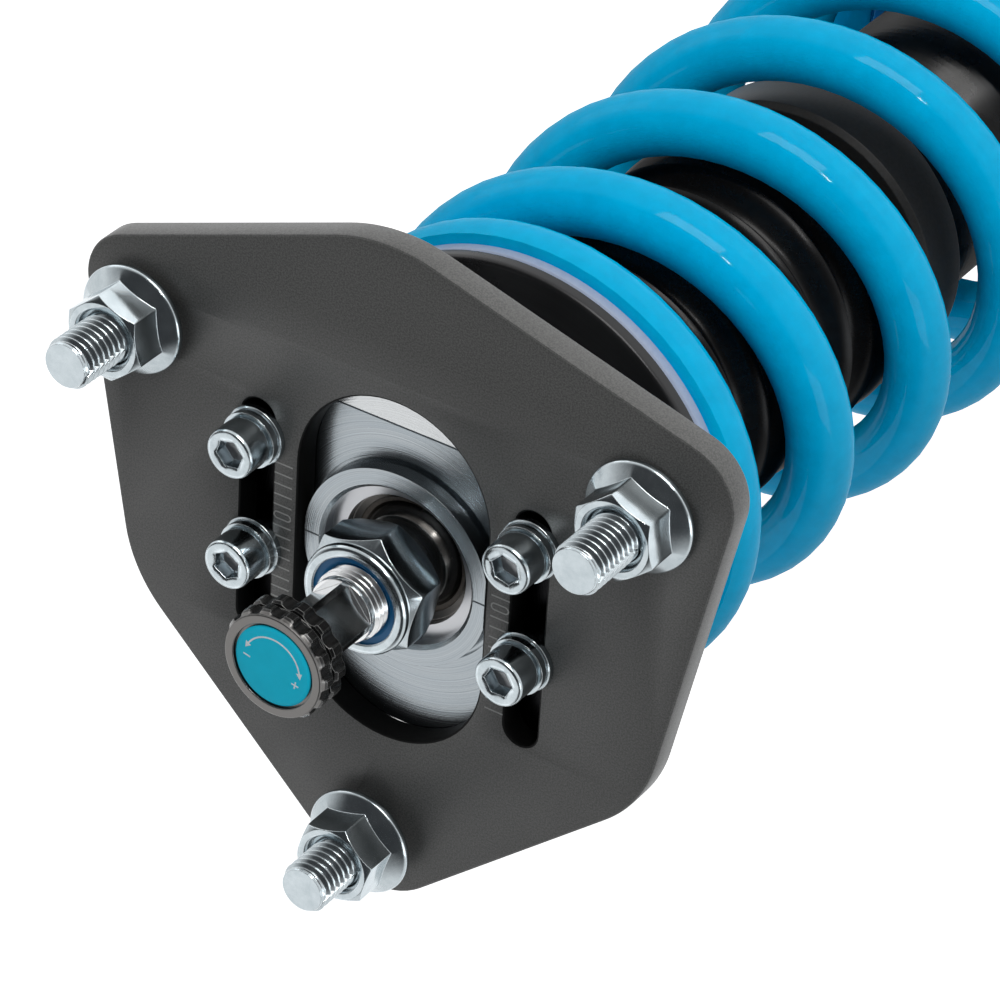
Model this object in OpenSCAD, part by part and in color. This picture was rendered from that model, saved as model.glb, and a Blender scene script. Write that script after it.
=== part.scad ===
// Top-adjustable coilover strut: camber plate, spherical top bearing, damper,
// spring, threaded body and lower clamp bracket.
// Millimetres. +Z runs up the strut axis and out through the damping knob.
// The origin is the centre of the three mounting studs, level with the upper
// face of the camber plate.

/* [Camber plate] */
// Thickness of the camber plate
plate_t = 5.5; // [5:0.5:6.5]
// Pitch circle of the three mounting studs
stud_pcd = 124; // [122:1:126]
// Thread diameter of the mounting studs
stud_d = 10; // [8:0.5:10.5]
// Length of the studs above the plate face
stud_l = 22.3; // [20:0.1:26]
// Length of the two camber slots
slot_l = 50.4; // [47:0.2:52]
// Width of the two camber slots
slot_w = 7; // [6.8:0.1:7.6]
// Spacing of the camber scale marks
mark_step = 2.25; // [2:0.05:2.3]

/* [Slider and bearing] */
// Thickness of the sliding plate
slider_t = 8; // [6:0.5:9]
// Diameter of the raised ring round the bearing
ring_d = 40; // [38.8:0.1:40]
// Outside diameter of the bearing race
race_d = 32; // [31:0.2:32.6]
// Diameter of the bearing ball
ball_d = 24; // [23:0.2:24.6]

/* [Rod and knob] */
// Diameter of the piston rod
rod_d = 22; // [20:0.5:23]
// Size across the flats of the rod nut
rod_nut_af = 22; // [20:0.5:23]
// Diameter of the damping knob
knob_d = 21.8; // [20:0.2:25]
// Height of the damping knob
knob_h = 7.3; // [6:0.1:10]

/* [Spring] */
// Inside diameter of the spring
spring_id = 70; // [70:0.5:76]
// Diameter of the spring wire
wire_d = 13; // [11:0.5:13]
// Pitch of the open coils
spring_pitch = 37.4; // [34:0.2:38]

/* [Damper body] */
// Outside diameter of the threaded body
body_d = 53; // [50:0.5:54]
// Length of the threaded body
body_l = 318; // [300:2:350]

/* [Lower bracket] */
// Diameter of the two knuckle bolt holes
bolt_d = 14; // [12:0.5:16]
// Distance between the two knuckle bolt holes
bolt_gap = 60; // [54:1:66]
// Clear width between the bracket ears
ear_gap = 42; // [38:1:46]

/* [Hidden] */

e = 0.01;
big = 200;
fit = 0.05;
free = 0.5;

// Colours
c_plate = [0.27, 0.27, 0.28];
c_zinc = [0.78, 0.81, 0.84];
c_steel = [0.72, 0.74, 0.75];
c_dark = [0.18, 0.18, 0.18];
c_black = [0.06, 0.06, 0.06];
c_blue = [0.02, 0.55, 0.78];
c_nylon = [0.68, 0.74, 0.84];
c_chrome = [0.86, 0.87, 0.88];
c_brass = [0.78, 0.62, 0.30];

// Camber plate
rod_x = 2.1;
rod_y = -2.7;
stud_a = [150.7, 30.7, 270.7];
stud_lift = [1.4, 0.4, 2.9];
stud_r = stud_d / 2;
stud_head_r = 7.5;
stud_head_t = 2;
open_l = 72;
slot_x = 29.5;
scale_zero = 2.25;
mark_up = 5;
mark_down = 10;
mark_w = 0.3;
mark_d = 0.25;
mark_in = 21.7;
mark_out = 25.6;
zero_w = 1.7;
edge_c = 0.6;
corners = [[148.1, 17.6, 11], [-154.5, -0.7, 28], [-88.7, 17.6, 15],
  [-27.2, 3.1, 30], [32.1, 23.8, 11.5], [92.1, 4.5, 34]];

// Flange nuts
nut_h = 10;
nut_af = 1.5 * stud_d;
nut_flange_r = 1.09 * stud_d;
nut_rim = 1.7;
nut_turn = [40, 38, 15];
stud_shank_r = stud_r + 0.25;
stud_thread = 0.4;
stud_land = 1.4;
stud_pitch = 1.5;

// Slider
slider_top = -plate_t - fit;
slider_bot = slider_top - slider_t;
slider_x = 38;
slider_y0 = -36.2;
slider_y1 = 42;
slider_r = 6;
bevel_y = 27.4;
bevel_drop = 2.6;
bevel_line = 0.3;
ring_r = ring_d / 2;
open_r = ring_r + free;
ring_top = -1.8;
ring_flat = 19.3;
groove_w = 0.8;
groove_z = slider_top - 0.8;
index_w = 0.3;
index_d = 0.2;
screw_x = 29.55;
screw_y = [17.95, -6.2];
screw_r = 3;
head_r = 5;
head_h = 6;
key_af = 5;
key_depth = 3;
washer_r = 6;
washer_t = 1.4;
split_r = 5.6;
split_t = 1.6;
split_gap = 1;
race_r = race_d / 2;
race_h = 13;
ball_z = -13;
ball_r = ball_d / 2;
ball_h = 16;
liner_t = 0.95;
liner_h = 11;
clip_t = 1.5;
clip_out = race_r + 0.8;
clip_in = race_r - 2.8;
lip_t = 2;
lip_r = 12.8;
housing_r = 20;
race_top = ball_z + race_h / 2;
race_bot = ball_z - race_h / 2;

// Rod stack
stem_r = 7;
nut_z = 0.7;
hex_h = 8.4;
collar_r = rod_nut_af / 2 + 0.1;
collar_top = 11.6;
insert_r = 9.2;
thread_top = 14.6;
flat_r = 6.4;
flat_af = 10;
rod_top = 28.4;
bore_r = 3;
spacer_r1 = 8.6;
spacer_r2 = 10.2;
seat_hub_top = -27;
seat_hub_r = 14;
shoulder_z = -33;
rod_r = rod_d / 2;
tenon_r = 6;

// Knob
knob_r = knob_d / 2;
knob_z = rod_top + free;
knob_n = 14;
knob_rim = knob_r - 0.7;
label_r = knob_r - 3;
label_t = 0.5;
adj_r = 2.45;

// Upper seat and spring
seat_top = -30;
seat_face = -38.2;
seat_bot = -41.2;
seat_r = spring_id / 2 + wire_d - 2.9;
seat_cone_r = spring_id / 2 + free;
pilot_r = spring_id / 2 - free;
pilot_end = -51;
seat_recess = pilot_end - 4;
isolator_t = 2.8;
isolator_r = seat_r;
ground_z = seat_bot - isolator_t;
wire_r = wire_d / 2;
coil_r = spring_id / 2 + wire_r;
end_turns = 0.67;
open_turns = 4.98;
end_pitch = 2;
tip_drop = wire_r - 3.5;
tip_angle = 210;
spring_n = 2 * end_turns + open_turns;
spring_drop = 2 * end_turns * end_pitch + open_turns * spring_pitch;
spring_foot = ground_z - spring_drop - 2 * tip_drop;
rings_per_turn = 24;
wire_sides = 8;

// Boot and bump stop
stop_top = shoulder_z - 4.4;
stop_end = -80;
boot_top = -46;
boot_end = -140;
boot_r1 = 30.8;
boot_r0 = 26.5;
boot_wall = 1.6;
boot_tail = 5;
pleats = 8;
boot_neck = pilot_r - 2.6;

// Damper body
body_r = body_d / 2;
body_wall = 5.5;
tube_r = body_r - body_wall;
gland_top = boot_end - 10;
body_top = gland_top - 6;
body_end = body_top - body_l;
cuff_r = 32.4;
cuff_top = boot_end;
cuff_end = gland_top - 4;
cuff_in = boot_r0 + boot_wall + 0.3;
guide_end = gland_top - 46;
topout_gap = 2.2;
rod_end = guide_end - topout_gap;
piston_top = rod_end - 2;
piston_h = 20;
shim_t = 2.4;
nut2_h = 9;
tenon_end = piston_top - piston_h - shim_t - nut2_h - 2.6;
float_z = -372;
float_h = 20;
plug_h = 14;

// Perch
slip_t = 3;
slip_r = spring_id / 2 + wire_d + 1.2;
perch_top = spring_foot - slip_t;
perch_flange_t = 7;
perch_r = slip_r + 1;
collar_od = body_r + 9.5;
perch_l = 22;
lock_l = 11;
lock_z = perch_top - perch_l - 0.05;

// Bracket
sleeve_r = body_r + 6;
bracket_top = -350;
bracket_l = 104;
ear_t = 6;
ear_y0 = -20;
ear_y1 = -78;
hole_y = -60;
hole_mid = bracket_top - bracket_l / 2;
tab_t = 4;
tab1_x = -10;
tab1_drop = 30;
tab1_r = 5;
tab1_w = 29;
tab2_drop = 58;
tab2_r = 4;
tab2_w = 18;
tab_reach = 9;

// Point on a circle
function pt(c, r, a) = [c[0] + r * cos(a), c[1] + r * sin(a)];

// Unit vector
function unit(v) = v / norm(v);

// Arc points that round corner i of a list of [x, y, radius]
function corner(p, i, n = 10) =
  let (q = len(p), b = [p[i][0], p[i][1]], r = p[i][2])
  let (a = [p[(i + q - 1) % q][0], p[(i + q - 1) % q][1]])
  let (c = [p[(i + 1) % q][0], p[(i + 1) % q][1]])
  let (u = unit(a - b), v = unit(c - b))
  let (half = acos(u * v) / 2, d = r / tan(half))
  let (m = b + unit(u + v) * r / sin(half))
  let (s = b + u * d - m, t = b + v * d - m)
  let (a0 = atan2(s[1], s[0]), a1 = atan2(t[1], t[0]))
  let (w = (a1 - a0 + 540) % 360 - 180)
  [for (k = [0 : n]) pt(m, r, a0 + w * k / n)];

function rounded(p, n = 10) = [for (i = [0 : len(p) - 1]) each corner(p, i, n)];

// Corner list of the camber plate, moved inwards by k
function outline(k = 0) = [for (c = corners)
  [(stud_pcd / 2 + c[1] - k) * cos(c[0]), (stud_pcd / 2 + c[1] - k) * sin(c[0]),
   c[2]]];

module at_rod() {
  translate([rod_x, rod_y, 0]) children();
}

module at_studs() {
  for (a = stud_a)
    rotate([0, 0, a]) translate([stud_pcd / 2, 0, 0]) children();
}

module at_screws() {
  for (x = [-screw_x, screw_x])
    for (y = screw_y)
      translate([x, y, 0]) children();
}

module tube(r1, r0, z0, z1, n = 64) {
  difference() {
    translate([0, 0, z0]) cylinder(r = r1, h = z1 - z0, $fn = n);
    translate([0, 0, z0 - 1]) cylinder(r = r0, h = z1 - z0 + 2, $fn = n);
  }
}

module turned(profile, n = 64) {
  rotate_extrude($fn = n) polygon(profile);
}

module hexagon(af, h) {
  cylinder(r = af / sqrt(3), h = h, $fn = 6);
}

module stadium(r, l, h) {
  translate([-r, -l / 2 + r, 0]) cube([2 * r, l - 2 * r, h]);
  for (s = [-1, 1])
    translate([0, s * (l / 2 - r), 0]) cylinder(r = r, h = h, $fn = 64);
}

// ---- Camber plate -------------------------------------------------------

module zero_mark() {
  rotate([0, 0, 90])
    translate([0, 0, -0.5])
      difference() {
        stadium(zero_w / 2, mark_out - mark_in, 1);
        translate([0, 0, -1])
          stadium(zero_w / 2 - mark_w, mark_out - mark_in - 2 * mark_w, 3);
      }
}

module plate_cuts() {
  translate([0, 0, -plate_t - 1]) stadium(open_r, open_l, plate_t + 2);
  for (x = [-slot_x, slot_x])
    translate([x, 0, -plate_t - 1])
      stadium(slot_w / 2, slot_l, plate_t + 2);
  for (s = [-1, 1])
    for (k = [-mark_down : mark_up])
      translate([s * (mark_in + mark_out) / 2,
                 scale_zero + k * mark_step, -mark_d + 0.5])
        if (k == 0)
          zero_mark();
        else
          cube([mark_out - mark_in, mark_w, 1], center = true);
}

module camber_plate() {
  color(c_plate)
  difference() {
    union() {
      translate([0, 0, -plate_t])
        linear_extrude(plate_t - edge_c) polygon(rounded(outline()));
      translate([0, 0, -edge_c - e])
        linear_extrude(edge_c + e) polygon(rounded(outline(edge_c)));
    }
    at_rod() plate_cuts();
    at_studs()
      translate([0, 0, -plate_t - 1])
        cylinder(r = stud_shank_r + fit, h = plate_t + 2, $fn = 48);
  }
}

function thread_profile(r, z0, n, p, d) = [
  for (k = [0 : n - 1]) each [[r, z0 + k * p], [r - d, z0 + (k + 0.5) * p]]];

stud_n = floor((stud_l - 1.3 - stud_land - stud_thread) / stud_pitch);

module mount_studs() {
  color(c_zinc)
  at_studs()
    turned(concat([[0, -plate_t - stud_head_t],
      [stud_head_r, -plate_t - stud_head_t], [stud_head_r, -plate_t],
      [stud_shank_r, -plate_t], [stud_shank_r, -0.5],
      [stud_r - 0.6, -0.1]],
      thread_profile(stud_r, stud_thread, stud_n, stud_pitch, 0.6),
      [[stud_r, stud_l - 1.2 - stud_land], [stud_r, stud_l - 1.2],
      [stud_r - 0.85, stud_l], [0, stud_l]]), 32);
}

module mount_nuts() {
  color(c_zinc)
  for (i = [0 : 2])
    translate([stud_pcd / 2 * cos(stud_a[i]), stud_pcd / 2 * sin(stud_a[i]),
               stud_lift[i]])
      difference() {
        union() {
          turned([[0, 0], [nut_flange_r - 0.6, 0], [nut_flange_r, 0.6],
            [nut_flange_r, nut_rim], [nut_af / 2 + 0.4, 3.6],
            [0, 3.6]], 48);
          intersection() {
            rotate([0, 0, nut_turn[i]]) hexagon(nut_af, nut_h);
            turned([[0, 0], [nut_flange_r, 0], [nut_flange_r, nut_h - 2],
              [nut_af / 2 + 0.2, nut_h], [0, nut_h]], 48);
          }
        }
        translate([0, 0, -1])
          cylinder(r = stud_r + fit, h = nut_h + 2, $fn = 48);
        translate([0, 0, nut_h - 0.9])
          cylinder(r1 = stud_r + fit, r2 = stud_r + 0.95, h = 0.91, $fn = 48);
      }
}

// ---- Slider -------------------------------------------------------------

slider_outline = [[-slider_x, slider_y0, slider_r],
  [slider_x, slider_y0, slider_r], [slider_x, slider_y1, slider_r],
  [-slider_x, slider_y1, slider_r]];

module slider_plate() {
  color(c_steel)
  at_rod()
  difference() {
    union() {
      difference() {
        translate([0, 0, slider_bot])
          linear_extrude(slider_t) polygon(rounded(slider_outline, 6));
        translate([0, bevel_y, slider_top])
          rotate([-atan(bevel_drop / (slider_y1 - bevel_y)), 0, 0])
            translate([-big / 2, 0, 0]) cube([big, 40, 10]);
        translate([0, bevel_y, slider_top])
          cube([big, bevel_line, 2 * bevel_line], center = true);
        tube(ring_r + groove_w, ring_r - 1, groove_z, 5, 96);
      }
      difference() {
        translate([0, 0, groove_z - 1])
          cylinder(r = ring_r, h = ring_top - groove_z + 1, $fn = 96);
        translate([ring_flat + 5, 0, slider_top + 5])
          cube([10, 60, 10], center = true);
      }
      translate([0, 0, race_bot - lip_t])
        cylinder(r = housing_r, h = slider_bot - race_bot + lip_t + e,
                 $fn = 96);
    }
    translate([0, 0, race_bot]) cylinder(r = race_r, h = 40, $fn = 96);
    translate([0, 0, ring_top - 0.8])
      cylinder(r1 = race_r, r2 = race_r + 0.8, h = 0.81, $fn = 96);
    translate([0, 0, race_top]) cylinder(r = clip_out, h = clip_t, $fn = 96);
    translate([0, 0, -60]) cylinder(r = lip_r, h = 60, $fn = 64);
    for (s = [-1, 1])
      translate([s * (ring_r + race_r) / 2, 0, ring_top - index_d + 0.5])
        cube([8, index_w, 1], center = true);
    at_screws()
      translate([0, 0, slider_bot - 1])
        cylinder(r = screw_r, h = slider_t + 2, $fn = 32);
  }
}

screw_z = washer_t + split_t + fit;

module slider_screws() {
  color(c_zinc)
  at_rod()
  at_screws()
    difference() {
      union() {
        turned(concat([[0, slider_bot + 0.5], [screw_r - 0.5, slider_bot + 0.5],
          [screw_r, slider_bot + 1], [screw_r, screw_z], [head_r, screw_z],
          [head_r, screw_z + head_h - 0.5], [head_r - 0.5, screw_z + head_h],
          [0, screw_z + head_h]]), 48);
      }
      translate([0, 0, screw_z + head_h - key_depth])
        rotate([0, 0, 12]) hexagon(key_af, key_depth + 1);
      translate([0, 0, screw_z + head_h - 0.5])
        cylinder(r1 = key_af / 2 - 0.2, r2 = key_af / 2 + 0.6, h = 0.51,
                 $fn = 48);
    }
}

module flat_washers() {
  color(c_zinc)
  at_rod()
  at_screws()
    difference() {
      turned([[screw_r + 0.2, fit], [washer_r, fit],
        [washer_r, fit + washer_t - 0.25], [washer_r - 0.25, fit + washer_t],
        [screw_r + 0.2, fit + washer_t]], 48);
    }
}

module spring_washers() {
  color(c_zinc)
  at_rod()
  at_screws()
    difference() {
      turned([[screw_r + 0.1, fit + washer_t], [split_r, fit + washer_t],
        [split_r, fit + washer_t + split_t],
        [screw_r + 0.1, fit + washer_t + split_t]], 48);
      rotate([0, 0, 205])
        translate([screw_r - 0.5, -split_gap / 2, 0])
          rotate([25, 0, 0]) cube([4, split_gap, 8]);
    }
}

module bearing_race() {
  color(c_dark)
  at_rod()
  difference() {
    translate([0, 0, race_bot]) cylinder(r = race_r, h = race_h, $fn = 96);
    translate([0, 0, ball_z])
      sphere(r = ball_r + liner_t + 2 * fit, $fn = 96);
    for (s = [0, 1])
      mirror([0, 0, s])
        translate([0, 0, (s == 0 ? race_top : -race_bot) - 0.8])
          cylinder(r1 = ball_r - 0.7, r2 = ball_r + 0.9, h = 0.81, $fn = 96);
  }
}

module race_clip() {
  color(c_zinc)
  at_rod()
  translate([0, 0, race_top])
    difference() {
      union() {
        tube(clip_out, clip_in, 0, clip_t, 96);
        for (s = [-1, 1])
          rotate([0, 0, 250 + s * 13])
            translate([clip_in - 0.2, 0, 0])
              cylinder(r = 1.6, h = clip_t, $fn = 32);
      }
      rotate([0, 0, 250])
        translate([clip_in - 4, -1.6, -1]) cube([12, 3.2, clip_t + 2]);
      for (s = [-1, 1])
        rotate([0, 0, 250 + s * 13])
          translate([clip_in - 0.2, 0, -1])
            cylinder(r = 0.75, h = clip_t + 2, $fn = 24);
    }
}

module bearing_liner() {
  color([0.85, 0.83, 0.75])
  at_rod()
  translate([0, 0, ball_z])
    difference() {
      sphere(r = ball_r + liner_t + fit, $fn = 96);
      sphere(r = ball_r + fit, $fn = 96);
      for (s = [0, 1])
        mirror([0, 0, s])
          translate([0, 0, liner_h / 2]) cylinder(r = 30, h = 30, $fn = 32);
    }
}

module bearing_ball() {
  color([0.36, 0.37, 0.38])
  at_rod()
  translate([0, 0, ball_z])
    difference() {
      sphere(r = ball_r, $fn = 96);
      for (s = [0, 1])
        mirror([0, 0, s])
          translate([0, 0, ball_h / 2]) cylinder(r = 30, h = 30, $fn = 32);
      translate([0, 0, -30])
        cylinder(r = stem_r + fit, h = 60, $fn = 64);
    }
}

// ---- Rod stack ----------------------------------------------------------

ball_top = ball_z + ball_h / 2;
ball_bot = ball_z - ball_h / 2;

module piston_rod() {
  color(c_chrome)
  at_rod()
  difference() {
    union() {
      turned(concat([[0, tenon_end], [tenon_r, tenon_end], [tenon_r, rod_end],
        [rod_r, rod_end], [rod_r, shoulder_z], [stem_r, shoulder_z],
        [stem_r, collar_top - 1.6]],
        thread_profile(stem_r, collar_top - 1, 3, 1.25, 0.6),
        [[stem_r - 0.7, thread_top], [flat_r, thread_top],
        [flat_r, rod_top], [0, rod_top]]), 64);
    }
    for (a = [38, 128, 218, 308])
      rotate([0, 0, a])
        translate([flat_af / 2, -10, thread_top + 0.6]) cube([10, 20, 20]);
    translate([0, 0, tenon_end - 1])
      cylinder(r = bore_r, h = rod_top - tenon_end + 2, $fn = 32);
  }
}

module rod_nut() {
  color(c_zinc)
  at_rod()
  difference() {
    union() {
      intersection() {
        translate([0, 0, nut_z])
          rotate([0, 0, 18]) hexagon(rod_nut_af, hex_h);
        turned([[0, nut_z], [rod_nut_af / 2 + 0.3, nut_z],
          [rod_nut_af / 2 + 2, nut_z + 1], [rod_nut_af / 2 + 2, nut_z + hex_h - 2.2],
          [rod_nut_af / 2 - 0.6, nut_z + hex_h + 0.2], [0, nut_z + hex_h + 0.2]],
          96);
      }
      turned([[0, nut_z + hex_h - 0.5], [collar_r - 0.6, nut_z + hex_h - 0.5],
        [collar_r - 0.6, nut_z + hex_h + 0.5], [collar_r, collar_top - 1.4],
        [collar_r - 0.3, collar_top - 0.5], [collar_r - 1, collar_top],
        [0, collar_top]], 96);
    }
    translate([0, 0, nut_z - 1]) cylinder(r = stem_r, h = 30, $fn = 64);
    translate([0, 0, collar_top - 3.2]) cylinder(r = insert_r, h = 5, $fn = 64);
  }
}

module nut_insert() {
  color([0.05, 0.25, 0.5])
  at_rod()
  turned([[stem_r, collar_top - 3.2], [insert_r, collar_top - 3.2],
    [insert_r, collar_top - 0.7], [stem_r + 0.6, collar_top - 0.9],
    [stem_r, collar_top - 1.4]]);
}

module upper_spacer() {
  color(c_steel)
  at_rod()
  turned([[stem_r, ball_top + fit], [spacer_r1, ball_top + fit],
    [spacer_r1, ball_top + 2.4], [spacer_r2, nut_z - 1], [spacer_r2, nut_z],
    [stem_r, nut_z]]);
}

module lower_spacer() {
  color(c_steel)
  at_rod()
  turned([[stem_r, seat_hub_top], [spacer_r2, seat_hub_top],
    [spacer_r2, seat_hub_top + 1.2], [spacer_r1, ball_bot - 1.8],
    [spacer_r1, ball_bot - fit], [stem_r, ball_bot - fit]]);
}

module upper_seat() {
  color(c_black)
  at_rod()
  difference() {
    turned([[stem_r, shoulder_z], [rod_r + 1, shoulder_z],
      [rod_r + 1, shoulder_z - 4.4], [pilot_r - 2.6, shoulder_z - 4.4],
      [pilot_r - 2.6, pilot_end], [pilot_r - 0.6, pilot_end],
      [pilot_r, pilot_end + 1.5], [pilot_r, seat_bot], [seat_r, seat_bot],
      [seat_r, seat_face - 1], [seat_r - 0.3, seat_face - 0.3],
      [seat_r - 1, seat_face], [seat_cone_r, seat_face],
      [seat_cone_r - 5, seat_top], [seat_hub_r + 4, seat_top],
      [seat_hub_r, seat_top + 1.5], [seat_hub_r, seat_hub_top - 0.6],
      [seat_hub_r - 0.6, seat_hub_top], [stem_r, seat_hub_top]], 96);
    turned([[rod_r + 3, seat_recess], [rod_r + 3, shoulder_z - 1],
      [pilot_r - 5, shoulder_z - 1], [pilot_r - 5, seat_recess]]);
  }
}

module isolator_ring() {
  color(c_nylon)
  at_rod()
  turned([[pilot_r + 0.1, ground_z], [isolator_r - 0.4, ground_z],
    [isolator_r, ground_z + 0.4], [isolator_r, seat_bot - 0.4],
    [isolator_r - 0.4, seat_bot], [pilot_r + 0.1, seat_bot]], 96);
}

// Wire centre at u turns from the top tip: two flat ends, open coils between
function wire_z(u) = ground_z - tip_drop
  - min(u, end_turns) * end_pitch
  - max(0, min(u, spring_n - end_turns) - end_turns) * spring_pitch
  - max(0, u - (spring_n - end_turns)) * end_pitch;

function spring_pt(i, j) =
  let (u = i / rings_per_turn, a = tip_angle - 360 * u)
  let (t = 360 * (j + 0.5) / wire_sides)
  let (r = coil_r + wire_r * cos(t), z = wire_z(u) + wire_r * sin(t))
  [r * cos(a), r * sin(a), min(ground_z, max(spring_foot, z))];

// Least gap between the wire's points and those about one turn further on
function spring_gap(m) = min([
  for (i = [0 : 3 : m - rings_per_turn * 3 / 4])
    for (k = [rings_per_turn * 3 / 4 : rings_per_turn * 5 / 4])
      if (i + k <= m)
        for (p = [0 : wire_sides - 1]) for (q = [0 : wire_sides - 1])
          norm(spring_pt(i, p) - spring_pt(i + k, q))]);

module main_spring() {
  m = round(spring_n * rings_per_turn);
  n = wire_sides;
  pts = [for (i = [0 : m]) for (j = [0 : n - 1]) spring_pt(i, j)];
  walls = [for (i = [0 : m - 1]) for (j = [0 : n - 1])
    let (p = i * n + j, q = i * n + (j + 1) % n)
    each [[p, q + n, q], [p, p + n, q + n]]];
  cap0 = [for (j = [1 : n - 2]) [0, j, j + 1]];
  cap1 = [for (j = [1 : n - 2]) [m * n, m * n + j + 1, m * n + j]];
  echo(str("main_spring least gap to itself, mm: ", spring_gap(m)));
  color(c_blue)
  at_rod()
    polyhedron(points = pts, faces = concat(walls, cap0, cap1));
}

module bump_stop() {
  color([0.83, 0.72, 0.35])
  at_rod()
  turned([[rod_r + fit, stop_end], [16, stop_end], [17.5, stop_end + 3],
    [17.5, stop_end + 9], [14.5, stop_end + 12], [18.5, stop_end + 15],
    [18.5, stop_end + 21], [15, stop_end + 24], [19.5, stop_end + 27],
    [19.5, stop_top - 4], [18, stop_top], [rod_r + fit, stop_top]]);
}

function boot_line(off) = [for (k = [0 : 2 * pleats])
  [(k % 2 == 0 ? boot_r0 : boot_r1) + off,
   boot_end + 4 + (boot_top - boot_end - 12) * k / (2 * pleats)]];

function reversed(v) = [for (k = [len(v) - 1 : -1 : 0]) v[k]];

module dust_boot() {
  color(c_black)
  at_rod()
  turned(concat([[boot_r0, boot_end - boot_tail],
    [boot_r0 + boot_wall, boot_end - boot_tail]],
    [for (p = boot_line(boot_wall / 2)) p + [boot_wall / 2, 0]],
    [[boot_neck, boot_top - 6], [boot_neck, boot_top],
    [boot_neck - boot_wall, boot_top], [boot_neck - boot_wall, boot_top - 6]],
    reversed([for (p = boot_line(-boot_wall / 2)) p + [boot_wall / 2, 0]])),
    64);
}

module piston() {
  color(c_steel)
  at_rod()
  difference() {
    turned([[tenon_r, piston_top - piston_h], [tube_r - 1.2, piston_top - piston_h],
      [tube_r - 0.6, piston_top - piston_h + 1], [tube_r - 0.6, piston_top - 15],
      [tube_r - 2, piston_top - 15], [tube_r - 2, piston_top - 5],
      [tube_r - 0.6, piston_top - 5], [tube_r - 0.6, piston_top - 1],
      [tube_r - 1.2, piston_top], [tenon_r, piston_top]]);
    for (k = [0 : 7])
      rotate([0, 0, 45 * k])
        translate([13.5, 0, piston_top - piston_h - 1])
          cylinder(r = 1.7, h = piston_h + 2, $fn = 24);
  }
}

module piston_band() {
  color([0.45, 0.33, 0.2])
  at_rod()
  tube(tube_r - fit, tube_r - 2, piston_top - 15, piston_top - 5);
}

module rebound_shims() {
  color(c_steel)
  at_rod()
  turned([[tenon_r, rod_end - 2], [9, rod_end - 2], [9, rod_end - 1.2],
    [10.6, rod_end - 1.2], [10.6, rod_end], [tenon_r, rod_end]], 48);
}

module compression_shims() {
  color(c_steel)
  at_rod()
  turned([[tenon_r, piston_top - piston_h - shim_t],
    [9, piston_top - piston_h - shim_t], [9, piston_top - piston_h - 1.2],
    [15, piston_top - piston_h - 1.2], [15, piston_top - piston_h],
    [tenon_r, piston_top - piston_h]], 48);
}

module piston_nut() {
  color(c_zinc)
  at_rod()
  translate([0, 0, piston_top - piston_h - shim_t - nut2_h])
    difference() {
      intersection() {
        hexagon(19, nut2_h);
        turned([[0, 0], [9.8, 0], [11, 1], [11, nut2_h - 1],
          [9.8, nut2_h], [0, nut2_h]], 48);
      }
      translate([0, 0, -1]) cylinder(r = tenon_r, h = nut2_h + 2, $fn = 48);
    }
}

// ---- Damping adjuster ---------------------------------------------------

module adjuster_knob() {
  color(c_black)
  at_rod()
  difference() {
    turned([[0, knob_z], [knob_r - 0.8, knob_z], [knob_r, knob_z + 0.6],
      [knob_r, knob_z + knob_h - 4.2], [knob_r - 0.7, knob_z + knob_h - 3.7],
      [knob_r - 0.7, knob_z + knob_h - 3.3], [knob_r, knob_z + knob_h - 2.8],
      [knob_r, knob_z + knob_h - 1.2], [knob_rim, knob_z + knob_h - 0.4],
      [knob_rim - 0.5, knob_z + knob_h], [label_r + 0.45, knob_z + knob_h],
      [label_r + 0.45, knob_z + knob_h - 0.7], [0, knob_z + knob_h - 0.7]], 96);
    for (k = [0 : knob_n - 1])
      rotate([0, 0, (k + 0.5) * 360 / knob_n])
        translate([knob_r + 0.75, 0, knob_z - 1])
          cylinder(r = 1.75, h = knob_h + 0.1, $fn = 24);
    translate([0, 0, knob_z - 1]) cylinder(r = adj_r, h = 5.5, $fn = 32);
    translate([0, 0, knob_z + 2.2]) rotate([0, 90, 128.6])
      cylinder(r = 1.25, h = 20, $fn = 24);
  }
}

module knob_label() {
  color(c_blue)
  at_rod()
  turned([[0, knob_z + knob_h - 0.7], [label_r, knob_z + knob_h - 0.7],
    [label_r, knob_z + knob_h - 0.7 + label_t],
    [label_r - 0.4, knob_z + knob_h - 0.4 + label_t],
    [0, knob_z + knob_h - 0.3 + label_t]], 96);
}

module knob_screw() {
  color(c_dark)
  at_rod()
  translate([0, 0, knob_z + 2.2])
    rotate([0, 90, 128.6])
      translate([0, 0, adj_r + 0.1])
        difference() {
          cylinder(r = 1.2, h = 5, $fn = 24);
          translate([0, 0, 3.6]) hexagon(1.3, 3);
        }
}

module adjuster_rod() {
  color(c_brass)
  at_rod()
  turned([[0, tenon_end - 4], [1, tenon_end - 4], [adj_r, tenon_end + 4],
    [adj_r, knob_z + 4.4], [0, knob_z + 4.4]], 32);
}

// ---- Damper body --------------------------------------------------------

module body_tube() {
  color(c_black)
  at_rod()
  difference() {
    turned([[0, body_end], [body_r - 1, body_end], [body_r, body_end + 1],
      [body_r, body_top - 1], [body_r - 1, body_top], [0, body_top]], 96);
    translate([0, 0, body_end - 1])
      cylinder(r = tube_r, h = body_l + 2, $fn = 96);
  }
}

module boot_cuff() {
  color([0.2, 0.2, 0.21])
  at_rod()
  turned([[body_r + 0.2, cuff_end], [cuff_r - 1.4, cuff_end],
    [cuff_r, cuff_end + 1.4], [cuff_r, cuff_top - 1.2],
    [cuff_r - 1.2, cuff_top - 0.1], [cuff_in, cuff_top - 0.1],
    [cuff_in, cuff_end + 8], [body_r + 0.2, cuff_end + 8]], 96);
}

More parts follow.
